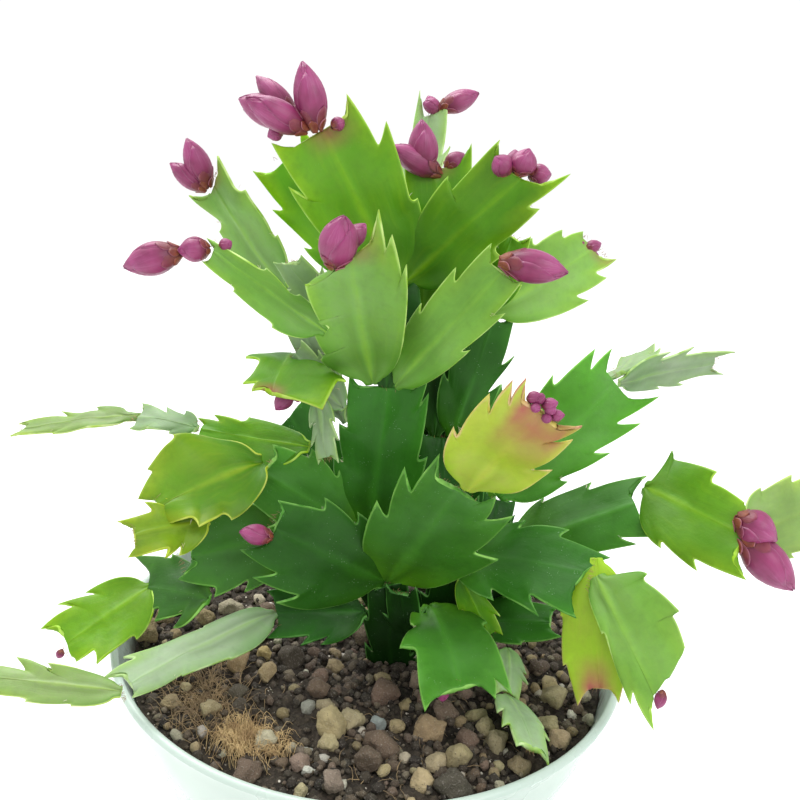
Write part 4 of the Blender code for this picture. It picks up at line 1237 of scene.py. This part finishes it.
def model_threads(name, threads, finish, slot_name):
    """Fine hairs or fibres, each a line of (point, radius), as thin tapered tubes."""
    curve = bpy.data.curves.new(name, "CURVE")
    curve.dimensions = "3D"
    curve.bevel_depth = 1.0
    curve.bevel_resolution = 0
    curve.use_fill_caps = True
    for thread in threads:
        spline = curve.splines.new("POLY")
        spline.points.add(len(thread) - 1)
        for point, (place, radius) in zip(spline.points, thread):
            point.co = (*place, 1)
            point.radius = radius
    select(add_object(name, curve))
    bpy.ops.object.convert(target="MESH")
    item = bpy.context.object
    item.data.materials.clear()
    item.data.materials.append(finish)
    item.data.shade_smooth()
    return finish_piece(item, name, slot_name)


COIR_STEPS = 7
# Groups of fibres: middle (x, y) and spread in mm, number, length in mm, height of the arch
COIR_GROUPS = (((-27, -45), 5.5, 300, 8, 0.4), ((-20, -46), 4.5, 120, 7, 0.3), ((-37, -34), 10, 220, 12, 0.2),
               ((-42, -24), 9, 110, 13, 0.15), ((10, -45), 34, 60, 8, 0.1))


def coir_threads():
    """Golden fibres: a dense nest near the front left rim, and loose strands spread behind it."""
    dice = random.Random(7)
    nest, loose = [], []
    for (cx, cy), spread, count, length, arch in COIR_GROUPS:
        threads = nest if arch >= 0.3 else loose
        for _ in range(count):
            x = (cx + dice.gauss(0, 0.45) * spread) * MM
            y = (cy + dice.gauss(0, 0.45) * spread) * MM
            heading = dice.gauss(2.3, 0.8)
            curl = dice.uniform(-1.0, 1.0) * 9 / length
            reach = length * dice.uniform(0.5, 1.1) * MM
            line = []
            for step in range(COIR_STEPS):
                t = step / (COIR_STEPS - 1)
                if math.hypot(x, y) > 63 * MM:
                    break
                high = soil_height(x, y) + (0.4 + arch * 10 * math.sin(math.pi * t) * dice.uniform(0.6, 1.1)) * MM
                line.append((Vector((x, y, high)), dice.uniform(0.07, 0.11) * MM * (1 - 0.5 * t)))
                heading += curl * reach / MM / COIR_STEPS * 0.3
                x += math.cos(heading) * reach / COIR_STEPS
                y += math.sin(heading) * reach / COIR_STEPS
            if len(line) > 2:
                threads.append(line)
    return nest, loose


# Piece, material, its two colours and slot of the hairs and fibres
THREADS = (
    ("areole_bristles", "bristles", (0.7, 0.68, 0.55), (0.5, 0.42, 0.25), "segment_old"),
    ("tip_bristles", "tip_wool", (0.42, 0.26, 0.12), (0.14, 0.07, 0.035), "segment_old"),
    ("coir_nest", "pale_coir", (0.70, 0.52, 0.26), (0.34, 0.22, 0.10), "soil"),
    ("coir_fibres", "coir", (0.44, 0.31, 0.16), (0.16, 0.11, 0.06), "soil"),
)


def thread_finish(name, light, dark):
    made = Shader(name)
    shade = made.stretch(made.cloud(made.place(), 300, 2), 0.3, 0.7)
    return made.finish(Base_Color=made.mix(shade, dark, light), Roughness=0.7)


# A bud of length 1 and width 1
BUD_LINE = ((0, 0.26), (0.06, 0.42), (0.12, 0.56), (0.2, 0.74), (0.3, 0.91), (0.4, 0.99), (0.5, 1.0), (0.6, 0.94),
            (0.7, 0.82), (0.8, 0.63), (0.88, 0.43), (0.95, 0.22), (1.0, 0.03))
PETAL_LINE = ((0, 0.62), (0.35, 1.0), (0.6, 0.92), (0.8, 0.66), (0.93, 0.33), (1.0, 0.02))
# Whorls: from, to, number, half span in degrees, stand-off, flare at the tip, ripeness
WHORLS = ((0.1, 1.0, 3, 80, 0.008, 0.0, 1.0), (0.03, 0.84, 3, 66, 0.016, 0.0, 0.85),
          (0.0, 0.34, 4, 40, 0.03, 0.01, 0.4), (-0.02, 0.16, 5, 34, 0.045, 0.04, 0.1))


def petal(low, high, turn, span, stand_off, flare, ripe):
    leaf = primitive("grid", x_subdivisions=6, y_subdivisions=9, size=2)
    mesh = leaf.data
    spots = [(0.5 + 0.5 * v.co.x, 0.5 + 0.5 * v.co.y) for v in mesh.vertices]
    for vert, (u, t) in zip(mesh.vertices, spots):
        along = low + (high - low) * t
        side = 2 * u - 1
        angle = turn + side * span * interpolate(PETAL_LINE, t)
        radius = 0.5 * interpolate(BUD_LINE, along) + stand_off * (0.4 + 0.9 * u) + flare * t * t
        radius += 0.012 * (1 - side * side)
        vert.co = (radius * math.cos(angle), along, radius * math.sin(angle))
    set_map(mesh, [(u, low + (high - low) * t) for u, t in spots])
    set_attribute(mesh, "ripe", [ripe] * len(mesh.vertices))
    skin = leaf.modifiers.new("skin", "SOLIDIFY")
    skin.thickness = 0.02
    skin.offset = 0
    apply_modifiers(leaf)
    return leaf


def bud_form():
    """Pointed bud along Y with its foot at the origin: a core, overlapping petals and small scales at the foot."""
    core = primitive("uv_sphere", segments=14, ring_count=12, radius=1)
    mesh = core.data
    for vert in mesh.vertices:
        x, y, z = vert.co
        along = math.acos(max(-1.0, min(1.0, -z))) / math.pi
        swell = 0.5 * interpolate(BUD_LINE, along) / max(math.hypot(x, y), 0.001)
        vert.co = (x * swell, along, -y * swell) if 0 < along < 1 else (0, along, 0)
    set_map(mesh, [(0.5, vert.co.y) for vert in mesh.vertices])
    set_attribute(mesh, "ripe", [1.0] * len(mesh.vertices))
    parts = [core]
    for number, (low, high, count, span, stand_off, flare, ripe) in enumerate(WHORLS):
        for step in range(count):
            turn = 2 * math.pi * (step / count + 0.13 * number)
            parts.append(petal(low, high, turn, math.radians(span), stand_off, flare, ripe))
    bud = join(parts, "bud_form")
    edit(bud)
    leave_edit()
    bud.data.shade_smooth()
    return bud


def bud_finish():
    made = Shader("bud_petals")
    where = made.place()
    across, along = made.map_axes()
    ripe = made.attribute("ripe")
    side = made.mirror(across)
    made.colour = made.mix(made.stretch(along, 0.04, 0.46, smooth=True), (0.085, 0.010, 0.014), (0.26, 0.030, 0.115))
    made.coat(made.stretch(along, 0.55, 1.0), (0.29, 0.032, 0.15))
    streaks = made.cloud(made.node("ShaderNodeCombineXYZ", {0: made.times(across, 22.0), 1: along}).outputs[0],
                         1.0, 2)
    # Painted highlight: a lighter streaky band down the middle of each petal, halfway up the bud.
    bloom = made.times(made.stretch(along, 0.3, 0.7), made.stretch(side, 0.9, 0.2))
    bloom = made.times(bloom, made.stretch(streaks, 0.35, 0.7, 0.1, 0.6))
    made.coat(bloom, (0.42, 0.13, 0.27))
    made.coat(made.stretch(made.cloud(where, 240, 2), 0.4, 0.66, 0.0, 0.5), (0.13, 0.010, 0.045))
    scale = made.mix(made.stretch(made.cloud(where, 500, 2), 0.35, 0.65), (0.16, 0.028, 0.018), (0.26, 0.075, 0.03))
    made.colour = made.mix(made.stretch(ripe, 0.0, 0.6), scale, made.colour)
    made.coat(made.stretch(side, 0.9, 0.99, 0.0, 0.35), (0.50, 0.20, 0.33))
    return made.finish(Base_Color=made.colour, Roughness=0.4, Normal=made.bump(streaks, 0.0002, 0.4),
                       Specular_IOR_Level=0.4, Subsurface_Weight=0.12, Subsurface_Radius=(1.0, 0.25, 0.4),
                       Subsurface_Scale=0.001)


def add_buds():
    form = bud_form()
    finish = bud_finish()
    dice = random.Random(5)
    for name, buds in BUDS.items():
        copies = []
        for foot, aim, length, width in buds:
            rotation = axes(aim, (aim[0], aim[1] + 90)).to_4x4()
            spin = Matrix.Rotation(dice.uniform(0, 2 * math.pi), 4, "Y")
            size = Matrix.Diagonal((width * MM, length * MM, width * MM, 1))
            place = Matrix.Translation(Vector(foot) * MM)
            copies.append(copy_of(form, place @ rotation @ spin @ size))
        cluster = join(copies, name)
        cluster.data.materials.append(finish)
        finish_piece(cluster, name + "_petals", "bud", name)
    discard(form)


def areole_hairs(placed):
    """White bristles in the margin notches, and brown ones across the tips."""
    dice = random.Random(17)
    pale, brown = [], []
    for shape, rotation, base in placed.values():
        spots = []
        for side in (0, 1):
            sign = (-1, 1)[side]
            for tooth in range(2):
                notch = shape.notches.get((side, tooth))
                if notch is None:
                    continue
                point = shape.lift(notch.x, sign * notch.y * shape.half)
                out = Vector((sign * 0.75, 0.65, 0))
                spots.append((point, out, dice.randint(2, 4), pale, 1.1, 0.05))
        for step in range(9):
            offset = (step / 8 - 0.5) * 1.7 * TIP_HALF * shape.half
            point, out = shape.tip(offset)
            spots.append((point, out, dice.randint(1, 3), brown, 1.5, 0.055))
        for point, out, count, kind, length, thick in spots:
            for _ in range(count):
                lean = Vector((dice.gauss(0, 0.45), dice.gauss(0, 0.2), dice.gauss(0, 0.45)))
                way = (rotation @ (out + lean)).normalized()
                aside = Vector((dice.gauss(0, 0.3), dice.gauss(0, 0.15), dice.gauss(0, 0.3)))
                start = base + rotation @ (point + aside * MM)
                long = length * dice.uniform(0.4, 1.1) * MM
                drop = Vector((0, 0, -0.2 * long))
                kind.append([(start - way * 0.2 * MM, thick * MM), (start + way * 0.5 * long, thick * 0.8 * MM),
                             (start + way * long + drop, thick * 0.25 * MM)])
    return pale, brown


bpy.context.scene.view_settings.view_transform = "Standard"
soil_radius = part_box("potting_soil")[1].x
placed = lay_out()
model_pot()
model_soil(soil_radius)
model_gravel(soil_radius - 0.5 * MM)
add_plant(placed)
add_buds()
threads = (*areole_hairs(placed), *coir_threads())
for row, lines in zip(THREADS, threads):
    name, finish_name, light, dark, slot_name = row
    model_threads(name, lines, thread_finish(finish_name, light, dark), slot_name)
set_stage()
add_light("sky_light", (-0.3, 0.35, 0.9), (0, 0, 0.15), 0.8, 10)
add_light("window_light", (0.5, -0.5, 0.7), (0, 0, 0.12), 0.6, 3)
add_camera()
